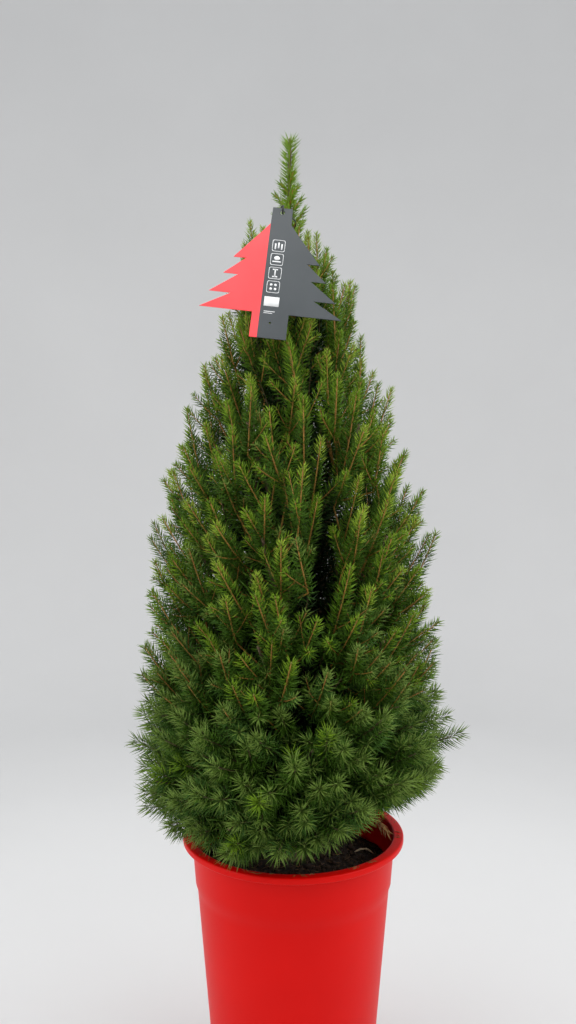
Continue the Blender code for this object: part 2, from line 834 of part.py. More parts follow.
def past_joint(joint, foot, tip):
    """A shoot's foot, moved up the shoot where its twig would have to double back."""
    along = (tip - foot).normalized()
    behind = (foot - joint).dot(along)
    return foot + along * max(0, TWIG_LEAST - behind)


def collect_shoots(masses, space):
    """Deals every shoot to its mass, and skips those that would touch a limb or another mass."""
    stems = {mass[0]: ((mass[1] + mass[2]) / 2, mass[3], mass[5]) for mass in masses}
    shoots = {name: [] for name in stems}
    plans = [
        (height, azimuth % math.tau, 1.0, random.Random(name), extra)
        for name, azimuth, height, extra in LONG_SHOOTS
    ]
    for index in range(SHOOTS):
        plans.append((*shoot_plan(index), 0.0))
    for height, azimuth, share, draw, extra in plans:
        owner = mass_of(height, azimuth, masses)
        reach = table_value(NEEDLE_REACH, height)
        for attempt in range(SHOOT_TRIES):
            bend = 1.0 if attempt < SHOOT_TRIES / 2 else LATE_WANDER
            foot, tip = shoot_line(height, azimuth, share, draw, bend, extra)
            joint = twig_joint(stems[owner], foot, tip, draw)
            foot = past_joint(joint, foot, tip)
            balls = brush_balls(foot, tip, reach)
            twig = balls_along(joint, foot, TWIG_RADIUS)
            if in_opening(foot, tip):
                continue
            long_enough = (tip - foot).length > SHOOT_LEAST
            if long_enough and space.clear(owner, balls, OWN_SHARE) and space.clear(owner, twig):
                space.add(owner, balls, brush=True)
                space.add(owner, twig[len(twig) // 2:])
                shoots[owner].append((joint, foot, tip, reach, draw.uniform(0, math.tau)))
                break
            share -= PULL_BACK
    return shoots


def make_mass(name, shape, shoots, finish, room):
    """One mass of foliage: stem, core, twigs and shoots, joined into one body."""
    low, high, azimuth, half_angle, on_bough = shape
    solids = []

    def add(fill):
        bm = bmesh.new()
        fill(bm)
        solids.append(object_from(bm, f"{name} part {len(solids)}", finish))

    if has_core(shape):
        draw = random.Random(name)
        add(lambda bm: core_mesh(bm, shape, draw))
    points = stem_points(low, high, azimuth, on_bough)
    steps = len(points) - 1
    radii = [BOUGH_TIP_RADIUS + (STEM_TIP_RADIUS - BOUGH_TIP_RADIUS) * k / steps for k in range(steps + 1)]
    add(lambda bm: limb_mesh(bm, points, radii, BOUGH_SIDES))
    for joint, foot, tip, reach, start in shoots:
        add(lambda bm: brush_mesh(bm, joint, foot, tip, reach, start))
    return fuse("foliage_" + name, solids, finish, None if on_bough else room)


# Leader


def make_leader(name, low, high, finish, room):
    """The needles round a length of the leader: a sleeve of brush, bored out clear of the trunk."""
    foot = trunk_middle(low)
    tip = trunk_middle(high)
    bm = bmesh.new()
    brush_mesh(bm, foot, foot.lerp(tip, 0.05), tip, LEADER_REACH, 0.3)
    brush = object_from(bm, name + " brush", finish)
    bm = bmesh.new()
    points = [foot.lerp(tip, share) for share in (0.08, 0.5, 0.96)]
    limb_mesh(bm, points, [LEADER_SLEEVE_RADIUS, LEADER_SLEEVE_RADIUS, LEADER_SLEEVE_TIP_RADIUS], 6)
    sleeve = object_from(bm, name + " sleeve", finish)
    return fuse(name, [brush, sleeve], finish, room)


# Hang tag and tie


def tag_frame():
    """The tag's top, its directions across, down and forward."""
    down = (TAG_FOOT - TAG_TOP).normalized()
    forward = Vector((0, -1, 0))
    forward = (forward - down * forward.dot(down)).normalized()
    return down, down.cross(forward).normalized(), forward


def tag_spot(across, down, forward=0.0):
    """A point on the tag from its own measures."""
    down_way, across_way, forward_way = tag_frame()
    return TAG_TOP + across_way * across + down_way * down + forward_way * forward


def make_tag(finish):
    bm = bmesh.new()
    right = [(half, drop) for drop, half in TAG_OUTLINE]
    left = [(-half, drop) for drop, half in reversed(TAG_OUTLINE)]
    half = TAG_THICKNESS / 2
    fronts = [bm.verts.new(tag_spot(across, drop, half)) for across, drop in right + left]
    face = bm.faces.new(fronts)
    back = bmesh.ops.extrude_face_region(bm, geom=[face])
    moved = [item for item in back["geom"] if isinstance(item, bmesh.types.BMVert)]
    bmesh.ops.translate(bm, verts=moved, vec=tag_frame()[2] * -TAG_THICKNESS)
    tag = object_from(bm, "hang_tag", finish)
    bm = bmesh.new()
    points = [tag_spot(0, TAG_HOLE_DROP, lift) for lift in (0.003, -0.003)]
    limb_mesh(bm, points, [TAG_HOLE_RADIUS] * 2, 10)
    punch = object_from(bm, "tag_hole_punch", finish)
    punch.hide_render = True
    punch.display_type = "WIRE"
    hole = tag.modifiers.new("hanging hole", "BOOLEAN")
    hole.operation = "DIFFERENCE"
    hole.object = punch
    return tag


def tie_route():
    """Points of the tie: through the tag's hole, round the leader and back over the tag's top."""
    height = tag_spot(0, 0).z
    leader = trunk_middle(height)
    leader_radius = table_value(TRUNK_TAPER, height)
    side = leader_radius + TIE_RADIUS + TIE_GAP
    guide = [
        tag_spot(0, TAG_HOLE_DROP, 0.0),
        tag_spot(-0.0012, TAG_HOLE_DROP, -0.006),
        leader + Vector((-side * 1.5, -0.016, -0.002)),
        leader + Vector((-side, 0, 0)),
        leader + Vector((0, side, 0.0005)),
        leader + Vector((side, 0, 0.001)),
        leader + Vector((side * 1.5, -0.016, 0.003)),
        tag_spot(0.0012, -0.0030, -0.006),
        tag_spot(0, -0.0028, 0.0),
        tag_spot(0, TAG_HOLE_DROP * 0.3, 0.0030),
    ]
    route = []
    count = len(guide)
    for index in range(TIE_POINTS):
        at = index * count / TIE_POINTS
        knot = int(at)
        share = at - knot
        before, start, end, after = (guide[(knot + k) % count] for k in (-1, 0, 1, 2))
        route.append(
            start * 1.0
            + (end - before) * (share * 0.5)
            + (before * 2 - start * 5 + end * 4 - after) * (share**2 * 0.5)
            + (start * 3 - end * 3 + after - before) * (share**3 * 0.5)
        )
    return route


def make_tie(finish):
    """A thin plastic loop, closed on itself."""
    bm = bmesh.new()
    route = tie_route()
    count = len(route)
    rings = []
    across, _ = frame_of((route[1] - route[-1]).normalized())
    for index, point in enumerate(route):
        direction = (route[(index + 1) % count] - route[index - 1]).normalized()
        across = (across - direction * across.dot(direction)).normalized()
        upright = direction.cross(across)
        offsets = (across, upright, -across, -upright)
        rings.append([bm.verts.new(point + offset * TIE_RADIUS) for offset in offsets])
    twist = min(range(4), key=lambda k: (rings[-1][0].co - rings[0][k].co).length)
    for index, near in enumerate(rings):
        far = rings[(index + 1) % count]
        shift = twist if index == count - 1 else 0
        for side in range(4):
            following = (side + 1) % 4
            corners = (near[side], near[following], far[(following + shift) % 4], far[(side + shift) % 4])
            bm.faces.new(corners)
    return object_from(bm, "tag_tie", finish)


def fixed_balls():
    """Room kept round the pot's lip, the soil, the tag and its tie."""
    balls = []
    for index in range(120):
        turn = math.tau * index / 120
        away = Vector((math.cos(turn), math.sin(turn), 0))
        middle = (LIP_RADIUS + LIP_INNER_RADIUS) / 2
        balls.append((away * middle + Vector((0, 0, POT_HEIGHT - 0.005)), 0.0056))
        balls.append((away * (POT_COLLAR_TOP_RADIUS + 0.001) + Vector((0, 0, POT_HEIGHT - 0.016)), 0.006))
    for row in range(1, 9):
        for index in range(6 * row):
            turn = math.tau * index / (6 * row)
            radius = row * 0.0105
            balls.append((Vector((radius * math.cos(turn), radius * math.sin(turn), SOIL_HEIGHT - 0.009)), 0.010))
    for drop in np.arange(0.001, TAG_OUTLINE[-1][0], 0.003):
        half = table_value(TAG_OUTLINE, drop)
        for across in np.arange(-half, half + 0.001, 0.003):
            balls.append((tag_spot(float(across), float(drop)), 0.0022))
    balls += [(point, TIE_RADIUS + 0.0003) for point in tie_route()]
    return balls


def main():
    clear_scene()
    plastic = material("red pot plastic", RED_PLASTIC, 0.42)
    peat = material("moist peat", PEAT, 0.95)
    bark = material("spruce bark", BARK, 0.85)
    needles = material("spruce needles", NEEDLE_GREEN, 0.55)
    print_sheet = material("tag sheet", TAG_GREY, 0.4)
    black = material("tie plastic", TIE_BLACK, 0.5)
    label = material("sticker paper", STICKER_WHITE, 0.5)

    make_pot(plastic)
    make_soil(peat)
    make_sticker(label)
    make_trunk(bark)
    room = make_trunk_room(bark)
    make_tag(print_sheet)
    make_tie(black)

    masses = tier_masses()
    space = Space()
    space.add("trunk", trunk_balls())
    space.add("fixed", fixed_balls())
    for name, low, high in LEADERS:
        space.add(name, brush_balls(trunk_middle(low), trunk_middle(high), LEADER_REACH))
    for name, low, high, azimuth, half_angle, on_bough in masses:
        if on_bough:
            make_bough(name, low, high, azimuth, bark, room)
            points = bough_points(low, high, azimuth)
            for near, far in zip(points[1:], points[2:]):
                space.add("bough_" + name, balls_along(near, far, BOUGH_RADIUS))
        stem = stem_points(low, high, azimuth, on_bough)
        for near, far in zip(stem[1:], stem[2:]):
            space.add(name, balls_along(near, far, BOUGH_TIP_RADIUS))
        shape = (low, high, azimuth, half_angle, on_bough)
        if has_core(shape):
            space.add(name, core_balls(shape))
    shoots = collect_shoots(masses, space)
    for name, low, high, azimuth, half_angle, on_bough in masses:
        make_mass(name, (low, high, azimuth, half_angle, on_bough), shoots[name], needles, room)
    for name, low, high in LEADERS:
        make_leader(name, low, high, needles, room)


main()
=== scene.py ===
import math

import bmesh
import bpy
import numpy as np
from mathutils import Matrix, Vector, noise


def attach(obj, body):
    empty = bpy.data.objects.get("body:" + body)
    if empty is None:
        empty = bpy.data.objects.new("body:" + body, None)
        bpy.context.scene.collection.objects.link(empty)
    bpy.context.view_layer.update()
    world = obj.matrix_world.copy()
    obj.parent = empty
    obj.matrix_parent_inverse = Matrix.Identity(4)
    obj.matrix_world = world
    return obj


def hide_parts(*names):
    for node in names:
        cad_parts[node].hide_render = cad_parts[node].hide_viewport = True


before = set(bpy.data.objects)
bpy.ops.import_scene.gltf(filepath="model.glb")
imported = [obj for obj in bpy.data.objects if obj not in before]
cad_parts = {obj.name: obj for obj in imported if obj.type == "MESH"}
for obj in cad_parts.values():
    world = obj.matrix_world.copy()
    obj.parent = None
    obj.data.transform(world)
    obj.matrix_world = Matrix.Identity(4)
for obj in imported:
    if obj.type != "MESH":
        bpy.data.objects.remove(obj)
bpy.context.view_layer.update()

# The names of the part's nodes as it was built
nodes = sorted(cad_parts)

# The view: a level camera stands close in front, a little over half the plant's height.
# The floor is one pale sheet swept up all round, and the light is soft and even:
# a wide panel on each side, one overhead and the open top of the sweep.
FILM = 36
LENS = 28.125
CAMERA_PLACE = (-0.005, -0.765, 0.579)
camera = bpy.data.objects.new("camera", bpy.data.cameras.new("camera"))
camera.data.sensor_width = FILM
camera.data.lens = LENS
camera.location = CAMERA_PLACE
camera.rotation_euler = (math.pi / 2, 0, 0)
bpy.context.scene.collection.objects.link(camera)
bpy.context.scene.camera = camera
bpy.context.scene.view_settings.view_transform = "Standard"


def linear(code):
    """A hex colour as linear red, green, blue and alpha."""
    parts = [int(code[at:at + 2], 16) / 255 for at in (0, 2, 4)]
    return (*[part / 12.92 if part <= 0.04045 else ((part + 0.055) / 1.055) ** 2.4 for part in parts], 1)


def add_node(tree, kind, settings, links=()):
    """Adds a node, gives its sockets and properties their values, and links outputs to its inputs."""
    made = tree.nodes.new(kind)
    for name, value in settings.items():
        if name in made.inputs:
            made.inputs[name].default_value = value
        else:
            setattr(made, name, value)
    for output, socket in links:
        tree.links.new(output, made.inputs[socket])
    return made


def patterned(name, dark, light, patch, grain, relief, roughness, **shader_values):
    """A material whose colour drifts between two over patches, with a fine grain in relief.

    patch, grain and relief are sizes in metres.
    """
    made = bpy.data.materials.new(name)
    made.use_nodes = True
    tree = made.node_tree
    shader = tree.nodes["Principled BSDF"]
    place = add_node(tree, "ShaderNodeTexCoord", {}).outputs["Object"]
    drift = add_node(tree, "ShaderNodeTexNoise", {"Scale": 1 / patch, "Detail": 4.0}, [(place, "Vector")])
    range_used = {"From Min": 0.3, "From Max": 0.7}
    spread = add_node(tree, "ShaderNodeMapRange", range_used, [(drift.outputs["Fac"], "Value")])
    ends = {"Color1": linear(dark), "Color2": linear(light)}
    colour = add_node(tree, "ShaderNodeMixRGB", ends, [(spread.outputs[0], "Fac")])
    fine = add_node(tree, "ShaderNodeTexNoise", {"Scale": 1 / grain, "Detail": 3.0}, [(place, "Vector")])
    limits = {"To Min": roughness - 0.06, "To Max": roughness + 0.06}
    rough = add_node(tree, "ShaderNodeMapRange", limits, [(fine.outputs["Fac"], "Value")])
    height = {"Strength": 1.0, "Distance": relief}
    bump = add_node(tree, "ShaderNodeBump", height, [(fine.outputs["Fac"], "Height")])
    tree.links.new(colour.outputs[0], shader.inputs["Base Color"])
    tree.links.new(rough.outputs[0], shader.inputs["Roughness"])
    tree.links.new(bump.outputs[0], shader.inputs["Normal"])
    for socket, value in shader_values.items():
        shader.inputs[socket.replace("_", " ")].default_value = value
    return made


def lathe(outline, steps):
    """Points and triangles of an outline of (radius, height) points turned about the upright axis."""
    turns = np.arange(steps) * math.tau / steps
    points, rings = [], []
    for radius, height in outline:
        if radius == 0:
            rings.append([len(points)] * steps)
            points.append((0, 0, height))
        else:
            rings.append(list(range(len(points), len(points) + steps)))
            points += [(radius * math.cos(turn), radius * math.sin(turn), height) for turn in turns]
    faces = []
    for low, high in zip(rings, rings[1:]):
        for side in range(steps):
            following = (side + 1) % steps
            faces.append((low[side], low[following], high[following]))
            faces.append((low[side], high[following], high[side]))
    return points, [face for face in faces if len(set(face)) == 3]


def arc(radius, height, size, start, end, steps=6):
    """Points on a rounded edge of an outline, by its middle, its size and its first and last angle."""
    angles = np.radians(np.linspace(start, end, steps))
    return [(radius + size * math.cos(angle), height + size * math.sin(angle)) for angle in angles]


def mesh_object(name, points, faces, *finishes):
    """A smooth mesh with its materials, linked to the scene."""
    mesh = bpy.data.meshes.new(name)
    mesh.from_pydata(np.asarray(points).tolist(), [], np.asarray(faces).tolist())
    for finish in finishes:
        mesh.materials.append(finish)
    mesh.shade_smooth()
    made = bpy.data.objects.new(name, mesh)
    bpy.context.scene.collection.objects.link(made)
    return made


# Painted board: matt, with only a breath of unevenness
SWEEP_FLAT_RADIUS = 1.5
SWEEP_CURVE = 0.8
SWEEP_TOP = 2.6
SWEEP_STEPS = 96
FLOOR_DROP = 0.0006
sweep_outline = [(0, -FLOOR_DROP), (SWEEP_FLAT_RADIUS, -FLOOR_DROP)]
sweep_outline += arc(SWEEP_FLAT_RADIUS, SWEEP_CURVE, SWEEP_CURVE + FLOOR_DROP, -90, 0, 12)[1:]
sweep_outline.append((SWEEP_FLAT_RADIUS + SWEEP_CURVE + FLOOR_DROP, SWEEP_TOP))
sweep_points, sweep_faces = lathe(sweep_outline, SWEEP_STEPS)
board = patterned("matt painted board", "DADADA", "DEDEDE", 0.6, 0.004, 0.00002, 0.85)
sweep = mesh_object("floor_sweep", sweep_points, np.array(sweep_faces)[:, ::-1], board)

PANELS = (
    ("left panel", (-1.15, -0.55, 1.05), (1.0, 1.1), 10.0),
    ("right panel", (1.15, -0.45, 1.10), (1.0, 1.1), 11.0),
    ("top panel", (0.05, -0.35, 1.75), (1.2, 1.2), 9.5),
)
PANEL_AIM = Vector((0, 0, 0.45))
for name, place, size, power in PANELS:
    lamp = bpy.data.lights.new(name, "AREA")
    lamp.shape = "RECTANGLE"
    lamp.size, lamp.size_y = size
    lamp.energy = power
    panel = bpy.data.objects.new(name, lamp)
    panel.location = place
    panel.rotation_euler = (PANEL_AIM - Vector(place)).to_track_quat("-Z", "Y").to_euler()
    panel.visible_camera = False
    bpy.context.scene.collection.objects.link(panel)
SKY_STRENGTH = 0.84
world = bpy.data.worlds.new("soft sky")
world.use_nodes = True
sky = world.node_tree.nodes["Background"].inputs
sky["Color"].default_value = linear("F4F6F8")
sky["Strength"].default_value = SKY_STRENGTH
bpy.context.scene.world = world

# The pot: a tapered nursery container, injection moulded in one piece of red
# polypropylene. A step carries its collar, a flat lip runs round the top, and six
# holes in the base let water out.
POT_HEIGHT = 0.276
POT_WALL = 0.0015
POT_BASE = 0.002
POT_FOOT_RADIUS = 0.070
POT_FOOT_ROUNDING = 0.003
WAIST_HEIGHT = 0.228
WAIST_RADIUS = 0.0908
STEP_TOP = 0.232
COLLAR_RADIUS = 0.0925
COLLAR_TOP_RADIUS = 0.0958
LIP_RADIUS = 0.1044
LIP_INNER_RADIUS = 0.0949
LIP_DEPTH = 0.006
LIP_ROUNDING = 0.0016
LIP_FOOT = POT_HEIGHT - LIP_DEPTH
POT_RINGS = (0.01, 0.06, 0.12, 0.18, 0.222)
COLLAR_SWELL = 0.0007
COLLAR_SWELL_HEIGHT = 0.240
POT_STEPS = 160
POT_SHARP_EDGE = math.radians(40)
DRAIN_HOLES = 6
DRAIN_HOLE_STEPS = 32
DRAIN_HOLE_RADIUS = 0.005
DRAIN_RING_RADIUS = 0.042


def pot_radius(height):
    """Outer radius of the pot below its collar."""
    return POT_FOOT_RADIUS + (WAIST_RADIUS - POT_FOOT_RADIUS) * height / WAIST_HEIGHT


def piece_of(name, points, faces, finish, slot, *replaced):
    """A visible piece of the plant or pot, which rides on its one body and stands for CAD nodes."""
    made = mesh_object(name, points, faces, finish)
    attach(made, "root")
    if replaced:
        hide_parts(*replaced)
    return made


def cut_out(body, cutter):
    """Takes one object's shape out of another's for good."""
    cutting = body.modifiers.new("cut", "BOOLEAN")
    cutting.operation = "DIFFERENCE"
    cutting.object = cutter
    left = bpy.data.meshes.new_from_object(body.evaluated_get(bpy.context.evaluated_depsgraph_get()))
    body.modifiers.clear()
    body.data = left
    bpy.data.objects.remove(cutter, do_unlink=True)


# Satin polypropylene: the mould's fine texture breaks up the reflections, and the
# colour is a little uneven where the wall runs thin
red_plastic = patterned(
    "moulded red polypropylene", "CE0400", "D60802", 0.09, 0.0009, 0.00003, 0.42, IOR=1.49,
    Specular_IOR_Level=0.12,
)
pot_outline = [(0, 0), (POT_FOOT_RADIUS - POT_FOOT_ROUNDING, 0)]
pot_outline += arc(POT_FOOT_RADIUS - POT_FOOT_ROUNDING, POT_FOOT_ROUNDING, POT_FOOT_ROUNDING, -75, 0, 5)
pot_outline += [(pot_radius(height), height) for height in POT_RINGS]
pot_outline += [(WAIST_RADIUS, WAIST_HEIGHT), (COLLAR_RADIUS, STEP_TOP)]
pot_outline += [(COLLAR_RADIUS + COLLAR_SWELL, COLLAR_SWELL_HEIGHT), (COLLAR_TOP_RADIUS, LIP_FOOT)]
pot_outline += arc(LIP_RADIUS - LIP_ROUNDING, LIP_FOOT + LIP_ROUNDING, LIP_ROUNDING, -90, 0)
pot_outline += arc(LIP_RADIUS - LIP_ROUNDING, POT_HEIGHT - LIP_ROUNDING, LIP_ROUNDING, 0, 90)
pot_outline += arc(LIP_INNER_RADIUS + LIP_ROUNDING, POT_HEIGHT - LIP_ROUNDING, LIP_ROUNDING, 90, 180)
pot_outline += [(COLLAR_TOP_RADIUS - POT_WALL, LIP_FOOT), (COLLAR_RADIUS - POT_WALL, STEP_TOP)]
pot_outline.append((WAIST_RADIUS - POT_WALL, WAIST_HEIGHT))
pot_outline += [(pot_radius(POT_BASE) - POT_WALL, POT_BASE), (0, POT_BASE)]
pot = piece_of("moulded_pot", *lathe(pot_outline, POT_STEPS), red_plastic, "red_pot_plastic", "pot")
cut = bmesh.new()
for hole in range(DRAIN_HOLES):
    turn = math.tau * (hole + 0.5) / DRAIN_HOLES
    made = bmesh.ops.create_cone(
        cut,
        cap_ends=True,
        segments=DRAIN_HOLE_STEPS,
        radius1=DRAIN_HOLE_RADIUS,
        radius2=DRAIN_HOLE_RADIUS,
        depth=POT_BASE * 3,
    )
    ring_spot = Vector((math.cos(turn), math.sin(turn), 0)) * DRAIN_RING_RADIUS
    ring_spot.z = POT_BASE / 2
    bmesh.ops.translate(cut, verts=made["verts"], vec=ring_spot)
drill = mesh_object("drill", [(0, 0, 0)], [])
cut.to_mesh(drill.data)
cut.free()
cut_out(pot, drill)
pot.data.set_sharp_from_angle(angle=POT_SHARP_EDGE)

# The sticker: a blank white self-adhesive label on the pot's right side. One corner
# has begun to lift.
STICKER_HEIGHT = 0.028
STICKER_MIDDLE = 0.133
STICKER_TURN = math.radians(36)
STICKER_THICKNESS = 0.0004
STICKER_COLUMNS = 24
STICKER_ROWS = 8
STICKER_GLUE = 0.00005
PEEL_LIFT = 0.0022
PEEL_FROM = 1.75
# Coated paper: bright and matt, with a faint tooth
label_paper = patterned("coated label paper", "E4E4E0", "EEEEEB", 0.02, 0.0004, 0.00001, 0.55, IOR=1.5)
sticker_points = []
for lift in (STICKER_GLUE, STICKER_THICKNESS):
    for row in range(STICKER_ROWS + 1):
        for column in range(STICKER_COLUMNS + 1):
            across = column / STICKER_COLUMNS
            upward = row / STICKER_ROWS
            height = STICKER_MIDDLE + (upward - 0.5) * STICKER_HEIGHT
            peel = PEEL_LIFT * (max(0, across + upward - PEEL_FROM) / (2 - PEEL_FROM)) ** 2
            radius = pot_radius(height) + lift + peel
            turn = across * STICKER_TURN
            sticker_points.append((radius * math.cos(turn), radius * math.sin(turn), height))
sticker_faces = []
layer = (STICKER_ROWS + 1) * (STICKER_COLUMNS + 1)
for row in range(STICKER_ROWS):
    for column in range(STICKER_COLUMNS):
        corner = row * (STICKER_COLUMNS + 1) + column
        above = corner + STICKER_COLUMNS + 1
        outer = [corner + layer, corner + 1 + layer, above + 1 + layer, above + layer]
        sticker_faces += [(outer[0], outer[1], outer[2]), (outer[0], outer[2], outer[3])]
        sticker_faces += [(corner, above + 1, corner + 1), (corner, above, above + 1)]
rim = list(range(STICKER_COLUMNS))
rim += [row * (STICKER_COLUMNS + 1) + STICKER_COLUMNS for row in range(STICKER_ROWS)]
rim += [layer - 1 - column for column in range(STICKER_COLUMNS)]
rim += [(STICKER_ROWS - row) * (STICKER_COLUMNS + 1) for row in range(STICKER_ROWS)]
for here, there in zip(rim, rim[1:] + rim[:1]):
    sticker_faces += [(here, there, there + layer), (here, there + layer, here + layer)]
piece_of("blank_label", sticker_points, sticker_faces, label_paper, "sticker_paper", "pot_sticker")

# The root ball: moist dark peat that fills the pot to a few fingers below its lip,
# crumbly on top, with lumps, short fibres and old fallen needles lying on it.
SOIL_HEIGHT = 0.2505
SOIL_EDGE_DROP = 0.005
SOIL_EDGE_RADIUS = 0.0916
SOIL_FOOT = 0.004
SOIL_CLEARANCE = 0.0022
SOIL_RINGS = 60
SOIL_RELIEF = 0.0022
SOIL_LUMP_SIZE = 0.011
SOIL_LUMP_LEVEL = 0.25
# How fast the finer lumps fade, how much finer each set is, and how many sets
SOIL_LUMPS = (0.9, 2.1, 4)
PEAT_CRUMBS = 2600
CRUMB_MARGIN = 0.002
CRUMB_SMALLEST = 0.0005
CRUMB_RANGE = 0.0019
CRUMB_UNEVEN = 0.35
CRUMB_SHOWS = 0.3
PEAT_FIBRES = 240
FIBRE_MARGIN = 0.008
FIBRE_SHORTEST = 0.004
FIBRE_RANGE = 0.009
FIBRE_BEND = 0.5
FIBRE_LIFT = 0.0006
FIBRE_RADII = (0.0002, 0.0004, 0.0004, 0.0002)


def soil_top(x, y):
    """Height of the peat's surface."""
    share = min(1.0, math.hypot(x, y) / SOIL_EDGE_RADIUS)
    lumps = noise.fractal(Vector((x, y, 0)) / SOIL_LUMP_SIZE, *SOIL_LUMPS)
    return SOIL_HEIGHT - SOIL_EDGE_DROP * share**2 + SOIL_RELIEF * (lumps - SOIL_LUMP_LEVEL)


class Heap:
    """Points and triangles of many small shapes, joined as arrays."""

    def __init__(self):
        self.points, self.faces, self.count = [], [], 0

    def add(self, points, faces):
        self.points.append(np.asarray(points))
        self.faces.append(np.asarray(faces) + self.count)
        self.count += len(points)

    def joined(self):
        return np.concatenate(self.points), np.concatenate(self.faces)


def unit(vectors):
    """The same directions at a length of one."""
    return vectors / np.maximum(np.linalg.norm(vectors, axis=-1, keepdims=True), 1e-9)


def tube(points, radii, sides):
    """Points and triangles of a tapering limb along points, closed at both ends."""
    points, radii = np.array(points), np.asarray(radii)
    along = unit(np.gradient(points, axis=0))
    helper = np.eye(3)[int(np.argmin(np.abs(along.mean(axis=0))))]
    across = unit(np.cross(helper, along))
    upright = np.cross(along, across)
    turns = np.arange(sides) * math.tau / sides
    rings = points[:, None] + radii[:, None, None] * (
        np.cos(turns)[None, :, None] * across[:, None] + np.sin(turns)[None, :, None] * upright[:, None]
    )
    count = len(points)
    corners = np.arange(count * sides).reshape(count, sides)
    following = np.roll(corners, -1, axis=1)
    faces = np.concatenate([
        np.stack([corners[:-1], following[:-1], following[1:]], axis=-1).reshape(-1, 3),
        np.stack([corners[:-1], following[1:], corners[1:]], axis=-1).reshape(-1, 3),
        np.stack([np.full(sides, count * sides), following[0], corners[0]], axis=-1),
        np.stack([np.full(sides, count * sides + 1), corners[-1], following[-1]], axis=-1),
    ])
    return np.concatenate([rings.reshape(-1, 3), points[:1], points[-1:]]), faces


# Moist peat: nearly black in the hollows, dark brown where it has dried, dull all over
peat = patterned("moist peat", "140E0A", "33241A", 0.008, 0.0012, 0.0004, 0.93)
dry_peat = patterned("dried peat crumbs", "21170F", "4A3626", 0.006, 0.0007, 0.0002, 0.95)
straw = patterned("peat fibre and old needles", "4A3320", "7C5C3A", 0.01, 0.0006, 0.0001, 0.8)
soil_outline = [(0, SOIL_FOOT), (pot_radius(SOIL_FOOT) - SOIL_CLEARANCE, SOIL_FOOT)]
soil_outline.append((WAIST_RADIUS - SOIL_CLEARANCE, WAIST_HEIGHT))
soil_outline.append((SOIL_EDGE_RADIUS, SOIL_HEIGHT - SOIL_EDGE_DROP))
soil_outline += [(SOIL_EDGE_RADIUS * (1 - ring / SOIL_RINGS), SOIL_HEIGHT) for ring in range(1, SOIL_RINGS)]
soil_outline.append((0, SOIL_HEIGHT))
soil_points, soil_faces = lathe(soil_outline, POT_STEPS)
soil_points = [(x, y, soil_top(x, y) if z >= SOIL_HEIGHT - SOIL_EDGE_DROP else z) for x, y, z in soil_points]
piece_of("peat_ball", soil_points, soil_faces, peat, "moist_peat", "soil")

lump = bmesh.new()
bmesh.ops.create_icosphere(lump, subdivisions=1, radius=1)
lump_points = np.array([vertex.co[:] for vertex in lump.verts])
lump_faces = np.array([[vertex.index for vertex in face.verts] for face in lump.faces])
lump.free()
crumbs, fibres = Heap(), Heap()
chance = np.random.default_rng(21)
for _ in range(PEAT_CRUMBS):
    radius = (SOIL_EDGE_RADIUS - CRUMB_MARGIN) * math.sqrt(chance.random())
    turn = chance.random() * math.tau
    x, y = radius * math.cos(turn), radius * math.sin(turn)
    size = CRUMB_SMALLEST + CRUMB_RANGE * chance.random() ** 3
    stretch = size * (0.6 + 0.8 * chance.random(3))
    shape = lump_points * stretch * (1 + CRUMB_UNEVEN * (chance.random((len(lump_points), 1)) - 0.5))
    crumbs.add(shape + (x, y, soil_top(x, y) + size * CRUMB_SHOWS), lump_faces)
for _ in range(PEAT_FIBRES):
    radius = (SOIL_EDGE_RADIUS - FIBRE_MARGIN) * math.sqrt(chance.random())
    turn = chance.random() * math.tau
    heading = chance.random() * math.tau
    length = FIBRE_SHORTEST + FIBRE_RANGE * chance.random()
    spots = []
    for along in np.linspace(-0.5, 0.5, len(FIBRE_RADII)):
        bent = heading + (chance.random() - 0.5) * FIBRE_BEND
        x = radius * math.cos(turn) + length * along * math.cos(bent)
        y = radius * math.sin(turn) + length * along * math.sin(bent)
        spots.append((x, y, soil_top(x, y) + FIBRE_LIFT))
    fibres.add(*tube(spots, FIBRE_RADII, 4))
piece_of("peat_crumbs", *crumbs.joined(), dry_peat, "moist_peat")
piece_of("peat_fibres", *fibres.joined(), straw, "moist_peat")

# The root bit: a short broken piece of root, washed pale. It lies loose on the peat
# near the pot's wall on the right.
ROOT_BIT_LIFT = 0.00176
ROOT_BIT_RADII = (0.0006, 0.0011, 0.0010, 0.0005)
root_bit = [(0.060, 0.012), (0.066, 0.019), (0.073, 0.020), (0.078, 0.014)]
# Bare root wood: pale and dull, a little darker along its grain
root_wood = patterned("pale washed root", "B39B78", "D8C6A4", 0.004, 0.0008, 0.0001, 0.7)
root_line = [(x, y, soil_top(x, y) + ROOT_BIT_LIFT) for x, y in root_bit]
piece_of("root_bit", *tube(root_line, ROOT_BIT_RADII, 8), root_wood, "spruce_bark")

# The trunk: one straight leader from the root flare to the tip. Its thin grey-brown
# bark is finely scaled.
TRUNK_TAPER = (
    (0.2485, 0.0128), (0.256, 0.0102), (0.270, 0.0086), (0.380, 0.0076), (0.500, 0.0064),
    (0.620, 0.0051), (0.740, 0.0036), (0.850, 0.0021), (0.936, 0.0012),
)
PLANT_HEIGHT = 0.943
GROUND = 0.250
TRUNK_LEAN = -0.003
TRUNK_SWAY = 0.002
TRUNK_RINGS = 420
TRUNK_SIDES = 36
BARK_SCALE_SIZE = 0.0035
BARK_RELIEF = 0.0006
# Scales are a little over twice as tall as they are wide
BARK_SCALE_SQUASH = 0.45
BARK_ROUGHNESS = (0.8, 2.2, 3)
BARK_DEEPEST = 0.7


